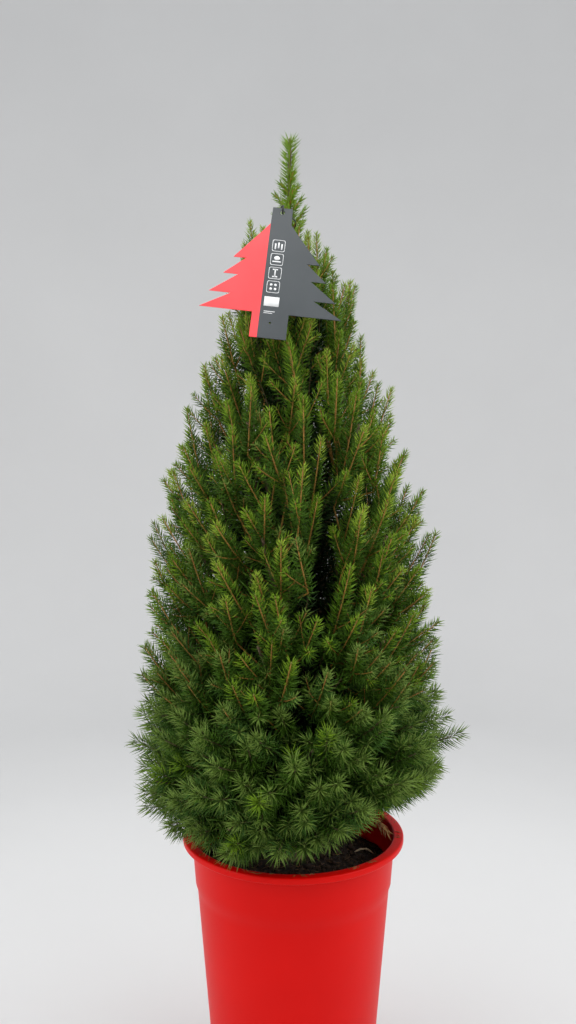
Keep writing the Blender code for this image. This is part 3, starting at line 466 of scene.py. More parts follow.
def trunk_middle(height):
    """The trunk's middle at a height, with its slight lean and sway."""
    share = (height - GROUND) / (PLANT_HEIGHT - GROUND)
    return Vector((
        TRUNK_LEAN * share + TRUNK_SWAY * math.sin(share * math.tau),
        TRUNK_SWAY * (1 - math.cos(share * math.tau)) / 2,
        height,
    ))


def table_value(table, at, column=1):
    """Reads a column of a table of sizes at a height, straight between its rows."""
    rows = np.array([row[:column + 1] for row in table])
    return float(np.interp(at, rows[:, 0], rows[:, column]))


def bark_tube(points, radii, sides, relief, size):
    """A limb whose bark stands out in small upright scales."""
    skin, faces = tube(points, radii, sides)
    middles = np.repeat(np.array(points), sides, axis=0)
    for index, middle in enumerate(middles):
        spot = Vector(skin[index])
        scales = noise.fractal(Vector((spot.x, spot.y, spot.z * BARK_SCALE_SQUASH)) / size, *BARK_ROUGHNESS)
        out = unit(skin[index] - middle)
        skin[index] += out * relief * max(-BARK_DEEPEST, min(BARK_DEEPEST, scales))
    return skin, faces


# Spruce bark: dull grey-brown, orange-brown in the cracks
bark = patterned("scaly spruce bark", "4B3626", "7A6351", 0.004, 0.0011, 0.0003, 0.88)
trunk_heights = np.linspace(TRUNK_TAPER[0][0], TRUNK_TAPER[-1][0], TRUNK_RINGS)
trunk_radii = [table_value(TRUNK_TAPER, height) for height in trunk_heights]
trunk_line = [trunk_middle(height) for height in trunk_heights]
trunk_skin = bark_tube(trunk_line, trunk_radii, TRUNK_SIDES, BARK_RELIEF, BARK_SCALE_SIZE)
piece_of("bark_trunk", *trunk_skin, bark, "spruce_bark", "trunk")

# The boughs: limbs leave the trunk all round, run out and curve upward, and each
# carries one mass of foliage. The lowest droop over the pot's lip.
# Height, reach to the right, reach to the left
CROWN_OUTLINE = (
    (0.262, 0.090, 0.114), (0.300, 0.116, 0.141), (0.330, 0.131, 0.146), (0.365, 0.146, 0.150),
    (0.457, 0.141, 0.143), (0.560, 0.131, 0.137), (0.610, 0.124, 0.123), (0.657, 0.105, 0.107),
    (0.705, 0.094, 0.090), (0.734, 0.079, 0.082), (0.800, 0.060, 0.054), (0.849, 0.030, 0.044),
    (0.877, 0.016, 0.018),
)
# Height of a limb's tip, height at which it leaves the trunk
LIMB_RISE = (
    (0.262, 0.296), (0.300, 0.306), (0.360, 0.326), (0.450, 0.380), (0.600, 0.475), (0.750, 0.610),
    (0.870, 0.770),
)
LIMB_CURVE = 2.0
# Whorls, from the skirt to the crest: lowest and highest tips, limbs, whether those are boughs
TIERS = (
    (0.272, 0.358, 6, True),
    (0.358, 0.450, 6, True),
    (0.450, 0.550, 6, True),
    (0.550, 0.655, 5, False),
    (0.655, 0.760, 4, False),
    (0.760, 0.880, 3, False),
)
TIER_TURN = math.radians(37)
BOUGH_START = 0.02
BOUGH_END = 0.34
STEM_END = 0.80
# Thickness along a limb: shares of its reach and the radii there
BOUGH_SHARES = (0, 0.06, BOUGH_END, STEM_END)
BOUGH_RADII = (0.00442, 0.0034, 0.0024, 0.0012)
BOUGH_STEPS = 40
BOUGH_SIDES = 12
BOUGH_BARK = 0.7


def crown_reach(height, azimuth):
    """How far the crown reaches from the trunk at a height, in a direction."""
    right = table_value(CROWN_OUTLINE, height, 1)
    left = table_value(CROWN_OUTLINE, height, 2)
    return left + (right - left) * (1 + math.cos(azimuth)) / 2


def limb_point(tip_height, azimuth, share):
    """A point on the limb that would reach the outline at tip_height, at a share of its reach."""
    root = table_value(LIMB_RISE, tip_height)
    radius = crown_reach(tip_height, azimuth) * share
    height = root + (tip_height - root) * share**LIMB_CURVE
    return trunk_middle(height) + Vector((math.cos(azimuth), math.sin(azimuth), 0)) * radius


boughs, masses = Heap(), []
for order, (low, high, count, on_bough) in enumerate(TIERS):
    for index in range(count):
        azimuth = (TIER_TURN * order + math.tau * index / count) % math.tau
        middle = (low + high) / 2
        masses.append((low, high, azimuth, math.pi / count, on_bough))
        shares = np.linspace(BOUGH_START, STEM_END, BOUGH_STEPS)
        thickness = np.interp(shares, BOUGH_SHARES, BOUGH_RADII)
        line = [limb_point(middle, azimuth, share) for share in shares]
        skin = bark_tube(line, thickness, BOUGH_SIDES, BARK_RELIEF * BOUGH_BARK, BARK_SCALE_SIZE * BOUGH_BARK)
        boughs.add(*skin)
bough_nodes = [node for node in nodes if node.startswith("bough_")]
piece_of("bark_boughs", *boughs.joined(), bark, "spruce_bark", *bough_nodes)

# The shoots: this and last year's growth, each a straight slim twig set all round
# with needles. They follow the same rule as the solids of the masses, and finer side
# shoots are carried on from them within the same reach.
SHOOTS = 250
GOLDEN_ANGLE = math.pi * (3 - math.sqrt(5))
CROWN_FOOT = 0.305
CROWN_FOOT_RISE = 0.045
CROWN_FOOT_HIGH_SIDE = math.radians(-18)
CROWN_FOOT_HIGH_HALF = math.radians(70)
CROWN_FOOT_SLOPE = math.radians(34)
CROWN_SHOULDER = 0.872
HEIGHT_SPREAD = 0.008
TURN_SPREAD = 0.08
REACH_SPREAD = 0.055
SHOOT_DENSITY = ((0.262, 1.6), (0.365, 1.3), (0.500, 0.9), (0.740, 0.8), (0.870, 1.9))
SHOOT_LENGTH = ((0.262, 0.042), (0.365, 0.050), (0.500, 0.062), (0.870, 0.074))
NEEDLE_REACH = ((0.262, 0.0155), (0.400, 0.0148), (0.500, 0.0112), (0.870, 0.0092))
LENGTH_SPREAD = (0.82, 1.25)
SHOOT_WANDER = 0.22
LIMB_STEP = 0.12
# Seed, azimuth, height and extra reach of the long low shoots on the right and left
LONG_SHOOTS = ((5, math.radians(-4), 0.370, 0.012), (4, math.radians(184), 0.364, 0.001))
# Tips that stand out at the crown's sides: distance to the right, height
SIDE_TIPS = (
    (0.060, 0.797), (0.054, 0.791), (0.078, 0.715), (0.093, 0.696), (0.107, 0.634), (0.126, 0.600),
    (0.133, 0.560), (-0.041, 0.857), (-0.046, 0.835), (-0.076, 0.729), (-0.084, 0.705),
    (-0.103, 0.648), (-0.124, 0.610), (-0.136, 0.555),
)
SIDE_TIP_SEED = 300
SIDE_TIP_TURN = 0.2
# Gaps in the front of the crown: middle to the right, height, half width, half height
CROWN_OPENINGS = ((0.026, 0.526, 0.013, 0.025), (0.002, 0.405, 0.007, 0.014))
OPENING_FRONT = -0.03
# Rounds of shoots: times SHOOTS, share of the crown's reach, share of the length, kind
ROUNDS = (
    (1.0, 1.00, 1.0, "outer"),
    (1.15, 0.965, 0.95, "outer"),
    (1.2, 0.80, 0.9, "inner"),
    (1.3, 0.60, 0.9, "inner"),
    (1.7, 0.42, 0.9, "inner"),
)
ROUND_TURN = 2.1
SIDE_SHOOTS = 2
SIDE_SHOOT_STARTS = (0.02, 0.30)
SIDE_SHOOT_TURN = 2.4
SIDE_SHOOT_MARGIN = 0.002
SIDE_NEEDLE_REACH = 0.88
SIDE_SHOOT_LENGTH = (0.40, 0.62)
SIDE_SHOOT_SPREAD = math.radians(36)
TWIG_JOINTS = 9
TWIG_FIRST_ON_BOUGH = 0.40
TWIG_FIRST = 0.12
TWIG_LAST = 0.77
# How much less a joint is liked for each metre that it lies away
TWIG_THRIFT = 9.0
SHOOT_BEND = 0.07


def crown_foot(azimuth):
    """Height of the lowest shoot tips, which leaves peat in view at the front right."""
    away = abs((azimuth - CROWN_FOOT_HIGH_SIDE + math.pi) % math.tau - math.pi)
    return CROWN_FOOT + CROWN_FOOT_RISE * min(1.0, max(0.0, (CROWN_FOOT_HIGH_HALF - away) / CROWN_FOOT_SLOPE))


plan_heights = np.linspace(CROWN_FOOT - HEIGHT_SPREAD, CROWN_SHOULDER, 60)
plan_area = np.cumsum([
    (crown_reach(height, 0) + crown_reach(height, math.pi)) * table_value(SHOOT_DENSITY, height)
    for height in plan_heights
])


def in_opening(foot, tip):
    """Whether a shoot would cross one of the gaps seen in the front of the crown."""
    for step in range(5):
        spot = foot.lerp(tip, step / 4)
        for middle, height, half_width, half_height in CROWN_OPENINGS:
            inside = ((spot.x - middle) / half_width) ** 2 + ((spot.z - height) / half_height) ** 2
            if spot.y < OPENING_FRONT and inside < 1:
                return True
    return False


def shoot_line(height, azimuth, share, draw, extra=0.0):
    """A shoot's foot and tip: it points on along its limb, a little out of line."""
    tip = limb_point(height, azimuth, share)
    along = (tip - limb_point(height, azimuth, share - LIMB_STEP)).normalized()
    along = (along + Vector(draw.uniform(-SHOOT_WANDER, SHOOT_WANDER, 3))).normalized()
    if extra:
        away = Vector((math.cos(azimuth), math.sin(azimuth), 0.1))
        tip = tip + away * extra
        along = (along + away).normalized()
    length = table_value(SHOOT_LENGTH, height) * draw.uniform(*LENGTH_SPREAD) + extra
    return tip - along * length, tip


def twig_joint(height, azimuth, foot, tip):
    """Where on its mass's limb a shoot's twig leaves, so that it runs most nearly along the shoot."""

    def misfit(mass):
        low, high, limb_azimuth, half, _ = mass
        return not low <= height < high, abs((azimuth - limb_azimuth + math.pi) % math.tau - math.pi) > half

    low, high, limb_azimuth, _, on_bough = min(masses, key=misfit)
    along = (tip - foot).normalized()
    shares = np.linspace(TWIG_FIRST_ON_BOUGH if on_bough else TWIG_FIRST, TWIG_LAST, TWIG_JOINTS)
    joints = [limb_point((low + high) / 2, limb_azimuth, share) for share in shares]

    def merit(joint):
        return (foot - joint).normalized().dot(along) - (foot - joint).length * TWIG_THRIFT

    return max(joints, key=merit)


# Each shoot: joint, foot, tip, reach of its needles, kind, its own random draws
shoots = []


def grow(height, azimuth, foot, tip, kind, draw):
    """Adds a shoot with the twig that joins it to its limb."""
    joint = twig_joint(height, azimuth % math.tau, foot, tip)
    shoots.append((joint, foot, tip, table_value(NEEDLE_REACH, height), kind, draw))


for seed, azimuth, height, extra in LONG_SHOOTS:
    draw = np.random.default_rng(seed)
    foot, tip = shoot_line(height, azimuth, 1.0, draw, extra)
    grow(height, azimuth, foot, tip, "outer", draw)
for index, (across, height) in enumerate(SIDE_TIPS):
    draw = np.random.default_rng(SIDE_TIP_SEED + index)
    azimuth = draw.uniform(-SIDE_TIP_TURN, SIDE_TIP_TURN) + (math.pi if across < 0 else 0)
    foot, tip = shoot_line(height, azimuth, 1.0, draw)
    moved = Vector((across - tip.x, 0, height - tip.z))
    foot, tip = foot + moved, tip + moved
    grow(height, azimuth, foot, tip, "outer", draw)
for order, (times, reach_share, length_share, kind) in enumerate(ROUNDS):
    total = int(SHOOTS * times)
    for index in range(total):
        draw = np.random.default_rng(1000 * (order + 1) + index)
        height = float(np.interp((index + 0.5) / total * plan_area[-1], plan_area, plan_heights))
        height += draw.uniform(-HEIGHT_SPREAD, HEIGHT_SPREAD)
        azimuth = index * GOLDEN_ANGLE + order * ROUND_TURN + draw.uniform(-TURN_SPREAD, TURN_SPREAD)
        azimuth %= math.tau
        height = max(height, crown_foot(azimuth))
        share = reach_share * (1 - abs(draw.normal(0, REACH_SPREAD)))
        foot, tip = shoot_line(height, azimuth, share, draw)
        foot = tip + (foot - tip) * length_share
        if not in_opening(foot, tip):
            grow(height, azimuth, foot, tip, kind, draw)
for joint, foot, tip, reach, kind, draw in list(shoots):
    if kind != "outer":
        continue
    line = tip - foot
    along = line.normalized()
    spin = draw.uniform(0, math.tau)
    across = line.cross(Vector((0.3, 0.2, 1))).normalized()
    for side in range(SIDE_SHOOTS):
        turn = spin + side * SIDE_SHOOT_TURN
        out = across * math.cos(turn) + along.cross(across) * math.sin(turn)
        start = foot + line * draw.uniform(*SIDE_SHOOT_STARTS)
        way = along * math.cos(SIDE_SHOOT_SPREAD) + out * math.sin(SIDE_SHOOT_SPREAD)
        end = start + way * line.length * draw.uniform(*SIDE_SHOOT_LENGTH)
        room = crown_reach(end.z, math.atan2(end.y, end.x)) + SIDE_SHOOT_MARGIN
        if math.hypot(end.x, end.y) < room and not in_opening(start, end):
            shoots.append((start, start, end, reach * SIDE_NEEDLE_REACH, "side", draw))


def shoot_path(foot, tip, share):
    """Points of a shoot's line, which bends a little upward, at shares of its length from 0 to 1."""
    share = np.asarray(share)[..., None]
    foot, tip = np.array(foot), np.array(tip)
    sag = np.array((0, 0, -SHOOT_BEND)) * np.linalg.norm(tip - foot)
    return foot + (tip - foot) * share + sag * (2 * share * (1 - share))


# Young twig bark: orange-brown and ridged, with a dry shine
young_bark = patterned("orange-brown twig bark", "8E6428", "B4843C", 0.006, 0.0006, 0.00012, 0.62)
# Olive-brown twig bark, darker than the young bark: painted shade for twigs low down and inside the crown
shade_painted_bark = patterned("olive-brown twig bark painted dark as shade", "3C3216", "50441E", 0.006, 0.0006, 0.00012, 0.7)
bud_scale = patterned("papery bud scales", "6A6A26", "868236", 0.002, 0.0004, 0.0001, 0.6)
# Lower down and inside the crown the twigs are painted dark olive-brown, as shade under the needles, and low
# down they end short of the tips
ORANGE_TWIGS_FROM = 0.42
TWIG_END = 0.97
LOW_TWIG_END = 0.84
TWIG_RADIUS = {"outer": 0.00078, "side": 0.0005, "inner": 0.0009}
TWIG_TAPER = (1.2, 0.6)
BUD_SHARES = (0.96, 0.98, 1.0)
BUD_RADII = (0.0005, 0.0009, 0.0002)
twigs, shade_painted_twigs, buds = Heap(), Heap(), Heap()
for joint, foot, tip, _, kind, _ in shoots:
    high_up = tip.z > ORANGE_TWIGS_FROM
    spots = shoot_path(foot, tip, np.linspace(0.0, TWIG_END if high_up else LOW_TWIG_END, 5))
    if kind != "side":
        spots = np.vstack([np.array(joint), np.array(joint.lerp(foot, 0.5)), spots])
    limb = tube(spots, TWIG_RADIUS[kind] * np.linspace(*TWIG_TAPER, len(spots)), 4)
    # Twigs of inner shoots and of low shoots take the darker bark as painted shade
    if kind == "inner" or not high_up:
        shade_painted_twigs.add(*limb)
    else:
        twigs.add(*limb)
        buds.add(*tube(shoot_path(foot, tip, BUD_SHARES), BUD_RADII, 5))
foliage_nodes = [node for node in nodes if node.startswith("foliage_")]
piece_of("shoot_twigs", *twigs.joined(), young_bark, "spruce_bark", *foliage_nodes)
piece_of("shade_painted_twigs", *shade_painted_twigs.joined(), shade_painted_bark, "spruce_bark", *foliage_nodes)
piece_of("shoot_buds", *buds.joined(), bud_scale, "spruce_bark", *foliage_nodes)

# The needles: stiff, slim and slightly curved, one at a time all round each shoot and
# pointing on towards its tip. New needles at the tips are yellow-green, older ones deep
# green, and those low down bluish. Those deep inside the crown are painted near black as shade.
NEEDLE_HALF_WIDTH = {"outer": 0.00052, "side": 0.00052, "inner": 0.00110}
INNER_NEEDLES_LONGER = 1.45
NEEDLE_SPACING = {"outer": 0.00042, "side": 0.00056, "inner": 0.00140}
NEEDLE_OPEN = (math.radians(68), math.radians(38))
LOW_CROWN = 0.47
LOW_CROWN_FADE = 0.10
TIP_NEEDLES_SHORTER = 0.40
LOW_TIPS_LONGER = 0.30
NEEDLE_CURVE = 0.07
NEEDLE_WIDEST = 0.42
NEEDLE_TURN_SPREAD = 0.25
NEEDLE_OPEN_SPREAD = 0.10
NEEDLE_LENGTHS = (0.84, 1.14)
OUTER_NEEDLES_LONGER = 1.08
FEWEST_NEEDLES = 8
LAST_NEEDLE = 0.99
NEW_GROWTH = 0.74
NEW_GROWTH_BLUR = 0.08
IN_LIGHT_FROM = 0.66
OLDER_PART = 0.75
OLDER_SPACING = 0.00160
DROOP = ((0.262, 0.30), (0.400, 0.12), (0.550, 0.0))
NEEDLES_PER_PIECE = 33000
NEEDLE_FACES = np.array([(0, 2, 1), (0, 3, 2), (0, 1, 3), (4, 1, 2), (4, 2, 3), (4, 3, 1)])
LEADER_LENGTHS = ((0.851, 0.933), (0.700, 0.847))
LEADER_REACH = 0.0122
LEADER_SPACING = 0.00024
LEADER_OPEN = (math.radians(64), math.radians(46))
SPRAY_SPACING = 0.0004
SPRAY_OUT = 0.62
SPRAY_UP = 0.78
SPRAY_REACH = (0.0085, 0.0068)
SPRAY_OPEN = (0.95, 0.45)
SPRAY_RADII = (0.0009, 0.0008, 0.0005)
# Short sprays on the leader: height, azimuth in degrees, length
LEADER_SPRAYS = (
    (0.866, 170, 0.022), (0.864, 10, 0.020), (0.870, -70, 0.017), (0.880, 20, 0.015),
    (0.882, 190, 0.014), (0.892, -60, 0.012), (0.852, 80, 0.022), (0.850, -100, 0.020),
    (0.846, -20, 0.026), (0.846, 150, 0.026), (0.838, 40, 0.030),
)
# Colours, from the newest needles to the oldest, then near black painted shade for needles deep inside, then
# low tips
LIME, FRESH, GRASS, DEEP, BLUISH, PAINTED_SHADE, PALE = range(7)
GREENS = (
    ("lime new needles", "7A9426", "8CA432"),
    ("fresh green needles", "5F8014", "71901E"),
    ("grass green needles", "496B10", "577A16"),
    ("deep green needles", "36560C", "446614"),
    ("bluish old needles", "375A1A", "456A26"),
    # Near black: painted shade for needles deep inside the crown
    ("inner needles painted dark as shade", "122605", "1A3208"),
    ("pale green low needles", "5B742A", "6D863A"),
)
# Heights in the crown, as shares, up to which the needles' two colours are as named
GREEN_LEVELS = ((0.10, BLUISH, PALE), (0.34, DEEP, PALE), (0.62, DEEP, FRESH), (9.0, GRASS, FRESH))
LEVEL_SPREAD = 0.16
LIME_CHANCE = 0.35
TAG_TOP = Vector((-0.0093, -0.0560, 0.8480))
TAG_FOOT = Vector((-0.0226, -0.0830, 0.7275))
TAG_OUTLINE = (
    (0.0000, 0.0088), (0.0161, 0.0092), (0.0300, 0.0200), (0.0518, 0.0377), (0.0518, 0.0266),
    (0.0680, 0.0447), (0.0680, 0.0315), (0.0862, 0.0549), (0.0862, 0.0356), (0.1014, 0.0615),
    (0.1014, 0.0158), (0.1247, 0.0158),
)
TAG_MARGIN = 0.002
CLEAR_OF_TAG = 0.0016
CLEAR_OF_POT = 0.0006
CLEAR_OF_LIP = 0.0005
CLEAR_OF_PEAT = 0.001
tag_down = (TAG_FOOT - TAG_TOP).normalized()
tag_forward = Vector((0, -1, 0))
tag_forward = (tag_forward - tag_down * tag_forward.dot(tag_down)).normalized()
tag_across = tag_forward.cross(tag_down).normalized()


def out_of_the_way(spots):
    """Whether points clear the pot, the peat and the tag, with what would lie in front of it."""
    radius = np.hypot(spots[:, 0], spots[:, 1])
    height = spots[:, 2]
    in_lip = (radius > COLLAR_RADIUS - POT_WALL) & (radius < LIP_RADIUS + CLEAR_OF_POT)
    in_lip &= height < POT_HEIGHT + CLEAR_OF_LIP
    in_wall = (radius > WAIST_RADIUS - 2 * POT_WALL) & (radius < COLLAR_TOP_RADIUS + CLEAR_OF_POT)
    in_wall &= height < LIP_FOOT
    in_peat = (radius < SOIL_EDGE_RADIUS) & (height < SOIL_HEIGHT + CLEAR_OF_PEAT)
    from_top = spots - np.array(TAG_TOP)
    drop = from_top @ np.array(tag_down)
    across = np.abs(from_top @ np.array(tag_across))
    forward = from_top @ np.array(tag_forward)
    half = np.interp(drop, [row[0] for row in TAG_OUTLINE], [row[1] for row in TAG_OUTLINE])
    in_tag = (drop > -TAG_MARGIN) & (drop < TAG_OUTLINE[-1][0] + TAG_MARGIN)
    in_tag &= (across < half) & (forward > -CLEAR_OF_TAG)
    return ~(in_lip | in_wall | in_peat | in_tag)


def needles_along(spots, ways, reach, opening, droop, draw, kind="outer"):
    """Five corners for each needle: its root, its waist of three and its point.

    The second result says which needles clear what stands in their way.
    """
    count = len(spots)
    helper = np.eye(3)[int(np.argmin(np.abs(ways.mean(axis=0))))]
    across = unit(np.cross(helper, ways))
    upright = np.cross(ways, across)
    turns = np.arange(count) * GOLDEN_ANGLE + draw.normal(0, NEEDLE_TURN_SPREAD, count)
    out = across * np.cos(turns)[:, None] + upright * np.sin(turns)[:, None]
    angle = opening + draw.normal(0, NEEDLE_OPEN_SPREAD, count)
    way = ways * np.cos(angle)[:, None] + out * np.sin(angle)[:, None]
    way[:, 2] -= droop
    way = unit(way)
    length = (reach * draw.uniform(*NEEDLE_LENGTHS, count))[:, None]
    point = spots + way * length
    waist = spots + way * length * NEEDLE_WIDEST - ways * length * NEEDLE_CURVE
    wide = unit(np.cross(way, ways) + 1e-6)
    deep = np.cross(way, wide)
    thirds = (0, math.tau / 3, math.tau * 2 / 3)
    sides = [NEEDLE_HALF_WIDTH[kind] * (wide * math.cos(turn) + deep * math.sin(turn)) for turn in thirds]
    clear = out_of_the_way(point) & out_of_the_way(waist)
    return np.stack([spots, *[waist + side for side in sides], point], axis=1)[clear], clear


def spray_needles(foot, tip, count, reach, opening, droop, draw):
    """Needles along a short straight shoot, from their reach and opening at its foot and its tip."""
    shares = (np.arange(count) + 0.5) / count
    ways = np.tile(unit(np.array(tip - foot)), (count, 1))
    sizes, angles = (first + (last - first) * shares for first, last in (reach, opening))
    return needles_along(shoot_path(foot, tip, shares), ways, sizes, angles, droop, draw)[0]


def needle_shapes(corners):
    """Points and triangles of needles, from the five corners of each."""
    return corners.reshape(-1, 3), (np.arange(len(corners))[:, None, None] * 5 + NEEDLE_FACES).reshape(-1, 3)


greens = [[] for _ in GREENS]
for joint, foot, tip, reach, kind, draw in shoots:
    count = max(FEWEST_NEEDLES, int((tip - foot).length / NEEDLE_SPACING[kind]))
    shares = (np.arange(count) + 0.5) / count * LAST_NEEDLE
    spots = shoot_path(foot, tip, shares)
    ways = unit(shoot_path(foot, tip, shares + 0.01) - shoot_path(foot, tip, shares - 0.01))
    low_down = min(1.0, max(0.0, (LOW_CROWN - tip.z) / LOW_CROWN_FADE))
    opening = NEEDLE_OPEN[0] + (NEEDLE_OPEN[1] - NEEDLE_OPEN[0]) * shares**1.5
    droop = table_value(DROOP, tip.z)
    longer = INNER_NEEDLES_LONGER if kind == "inner" else OUTER_NEEDLES_LONGER
    swell = 0.86 + 0.20 * np.sin(shares * math.pi)
    blunt = 1 - (TIP_NEEDLES_SHORTER - LOW_TIPS_LONGER * low_down) * shares**6
    needles, clear = needles_along(spots, ways, reach * longer * swell * blunt, opening, droop, draw, kind)
    level = (tip.z - CROWN_FOOT) / (PLANT_HEIGHT - CROWN_FOOT) + draw.normal(0, LEVEL_SPREAD)
    if kind == "inner":
        # Inner shoots deep in the crown get near-black needles: painted shade
        in_light = math.hypot(tip.x, tip.y) > IN_LIGHT_FROM * crown_reach(tip.z, math.atan2(tip.y, tip.x))
        body = end = DEEP if in_light else PAINTED_SHADE
    else:
        body, end = next((older, newer) for below, older, newer in GREEN_LEVELS if level < below)
    if kind == "outer" and tip.z > LOW_CROWN and draw.random() < LIME_CHANCE * (1 + level):
        end = FRESH if end == PALE else LIME
    newest = shares[clear] + draw.normal(0, NEW_GROWTH_BLUR, clear.sum()) > NEW_GROWTH
    greens[body].append(needles[~newest])
    greens[end].append(needles[newest])
    if kind == "outer":
        # Older needles carry on down the twig, behind the shoot
        back = np.array(foot) - np.array(joint)
        count = max(3, int(np.linalg.norm(back) * OLDER_PART / OLDER_SPACING))
        shares = 1 - OLDER_PART * (np.arange(count) + 0.5) / count
        spots = np.array(joint) + back * shares[:, None]
        ways = np.tile(unit(back), (count, 1))
        needles, _ = needles_along(spots, ways, reach * np.ones(count), NEEDLE_OPEN[0], droop, draw)
        greens[DEEP if body == GRASS else BLUISH].append(needles)
draw = np.random.default_rng(77)
for low, high in LEADER_LENGTHS:
    heights = np.arange(low, high, LEADER_SPACING)
    spots = np.array([trunk_middle(height) for height in heights])
    shares = (heights - low) / (high - low)
    ways = np.tile((0.0, 0.0, 1.0), (len(heights), 1))
    opening = LEADER_OPEN[0] + (LEADER_OPEN[1] - LEADER_OPEN[0]) * shares
    needles, _ = needles_along(spots, ways, LEADER_REACH * (1.1 - 0.05 * shares), opening, 0, draw)
    greens[FRESH].append(needles)
sprays = Heap()
for height, degrees, length in LEADER_SPRAYS:
    azimuth = math.radians(degrees)
    foot = trunk_middle(height)
    tip = foot + Vector((math.cos(azimuth) * SPRAY_OUT, math.sin(azimuth) * SPRAY_OUT, SPRAY_UP)) * length
    count = int(length / SPRAY_SPACING)
    greens[FRESH].append(spray_needles(foot, tip, count, SPRAY_REACH, SPRAY_OPEN, 0, draw))
    sprays.add(*tube([foot, foot.lerp(tip, 0.5), tip], SPRAY_RADII, 5))
piece_of("leader_twigs", *sprays.joined(), young_bark, "spruce_bark")

for (name, dark, light), sprays_of_needles in zip(GREENS, greens):
    # Needle skin: green and opaque, and waxy enough for a soft shine
    skin = patterned(name, dark, light, 0.012, 0.0006, 0.00003, 0.52, IOR=1.40, Specular_IOR_Level=0.24)
    corners = np.concatenate(sprays_of_needles)
    for part, start in enumerate(range(0, len(corners), NEEDLES_PER_PIECE)):
        shapes = needle_shapes(corners[start:start + NEEDLES_PER_PIECE])
        title = f"{name.replace(' ', '_')}_{part + 1}"
        piece_of(title, *shapes, skin, "spruce_needles", *foliage_nodes)

# The hang tag: a stiff printed synthetic sheet cut as a fir tree, red on its left and
# dark grey on its right, with small framed marks, a blank patch and a punched hole.
TAG_THICKNESS = 0.0008
TAG_HOLE_DROP = 0.0045
TAG_HOLE_RADIUS = 0.0021
PUNCH_DEPTH = 0.003
PUNCH_STEPS = 24
TAG_RED_EDGE = -0.0092
TAG_SMALL_HOLE = (0.0006, 0.1104, 0.0010)
PRINT_LIFT = 0.00006
CORNERS = ((1, 1), (-1, 1), (-1, -1), (1, -1))
MARK_SIZE = 0.0112
MARK_LINE = 0.0004
MARK_ROUNDING = 0.0015
MARK_PLACES = ((0.0002, 0.0371), (0.0, 0.0503), (-0.0002, 0.0635), (-0.0004, 0.0767))
# What each mark shows: bars by their place in its frame, width and height
MARK_BARS = (
    ((-0.0028, 0.0008, 0.0013, 0.0055), (0, -0.0004, 0.0013, 0.0055), (0.0028, 0.0008, 0.0013, 0.0055)),
    ((0, 0.0022, 0.0075, 0.0011),),
    ((0, 0, 0.0011, 0.0080), (0, -0.0034, 0.0045, 0.0011), (0, 0.0034, 0.0045, 0.0011)),
    (),
)
# And rounds by their place, half width, half height and steps
DOT_OUT = 0.0027 * math.sqrt(0.5)
MARK_ROUNDS = (
    (),
    ((0, -0.0012, 0.0026, 0.0020, 12),),
    (),
    [(side * DOT_OUT, down * DOT_OUT, 0.0012, 0.0012, 8) for side, down in CORNERS],
)
# The blank patch and the two short bars under it
PLAIN_BARS = (
    (-0.0002, 0.0906, 0.0130, 0.0088),
    (-0.0012, 0.1000, 0.0095, 0.0006),
    (-0.0022, 0.1016, 0.0075, 0.0005),
)


def tag_spot(across, down, forward=0.0):
    """A point on the tag from its own measures."""
    return TAG_TOP + tag_across * across + tag_down * down + tag_forward * forward


tag_mesh = bmesh.new()
right_edge = [(half, drop) for drop, half in TAG_OUTLINE]
left_edge = [(-half, drop) for drop, half in reversed(TAG_OUTLINE)]
front = [tag_mesh.verts.new(tag_spot(*place, TAG_THICKNESS / 2)) for place in right_edge + left_edge]
swept = bmesh.ops.extrude_face_region(tag_mesh, geom=[tag_mesh.faces.new(front)])
moved = [item for item in swept["geom"] if isinstance(item, bmesh.types.BMVert)]
bmesh.ops.translate(tag_mesh, verts=moved, vec=tag_forward * -TAG_THICKNESS)
everything = tag_mesh.verts[:] + tag_mesh.edges[:] + tag_mesh.faces[:]
bmesh.ops.bisect_plane(
    tag_mesh, geom=everything, plane_co=tag_spot(TAG_RED_EDGE, 0), plane_no=tag_across, dist=1e-6
)
bmesh.ops.recalc_face_normals(tag_mesh, faces=tag_mesh.faces)
for face in tag_mesh.faces:
    across = (face.calc_center_median() - TAG_TOP).dot(tag_across)
    face.material_index = 1 if across < TAG_RED_EDGE else 0
# Printed film: an even satin ink over a smooth sheet
grey_print = patterned("dark grey printed sheet", "3F4447", "454A4D", 0.03, 0.0004, 0.000008, 0.36, IOR=1.5)
red_print = patterned("coral red printed sheet", "FF4347", "FF4B4F", 0.03, 0.0004, 0.000008, 0.36, IOR=1.5)
white_print = patterned("white printed ink", "E2E4E4", "F0F1F1", 0.01, 0.0004, 0.000005, 0.42, IOR=1.5)
tag = mesh_object("printed_tag", [(0, 0, 0)], [], grey_print, red_print)
tag_mesh.to_mesh(tag.data)
tag_mesh.free()
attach(tag, "root")
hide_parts("hang_tag")
punch = Heap()
for across, drop, radius in ((0, TAG_HOLE_DROP, TAG_HOLE_RADIUS), TAG_SMALL_HOLE):
    bore = [tag_spot(across, drop, forward) for forward in (PUNCH_DEPTH, 0, -PUNCH_DEPTH)]
    punch.add(*tube(bore, [radius] * len(bore), PUNCH_STEPS))
cut_out(tag, mesh_object("punch", *punch.joined()))

marks = Heap()


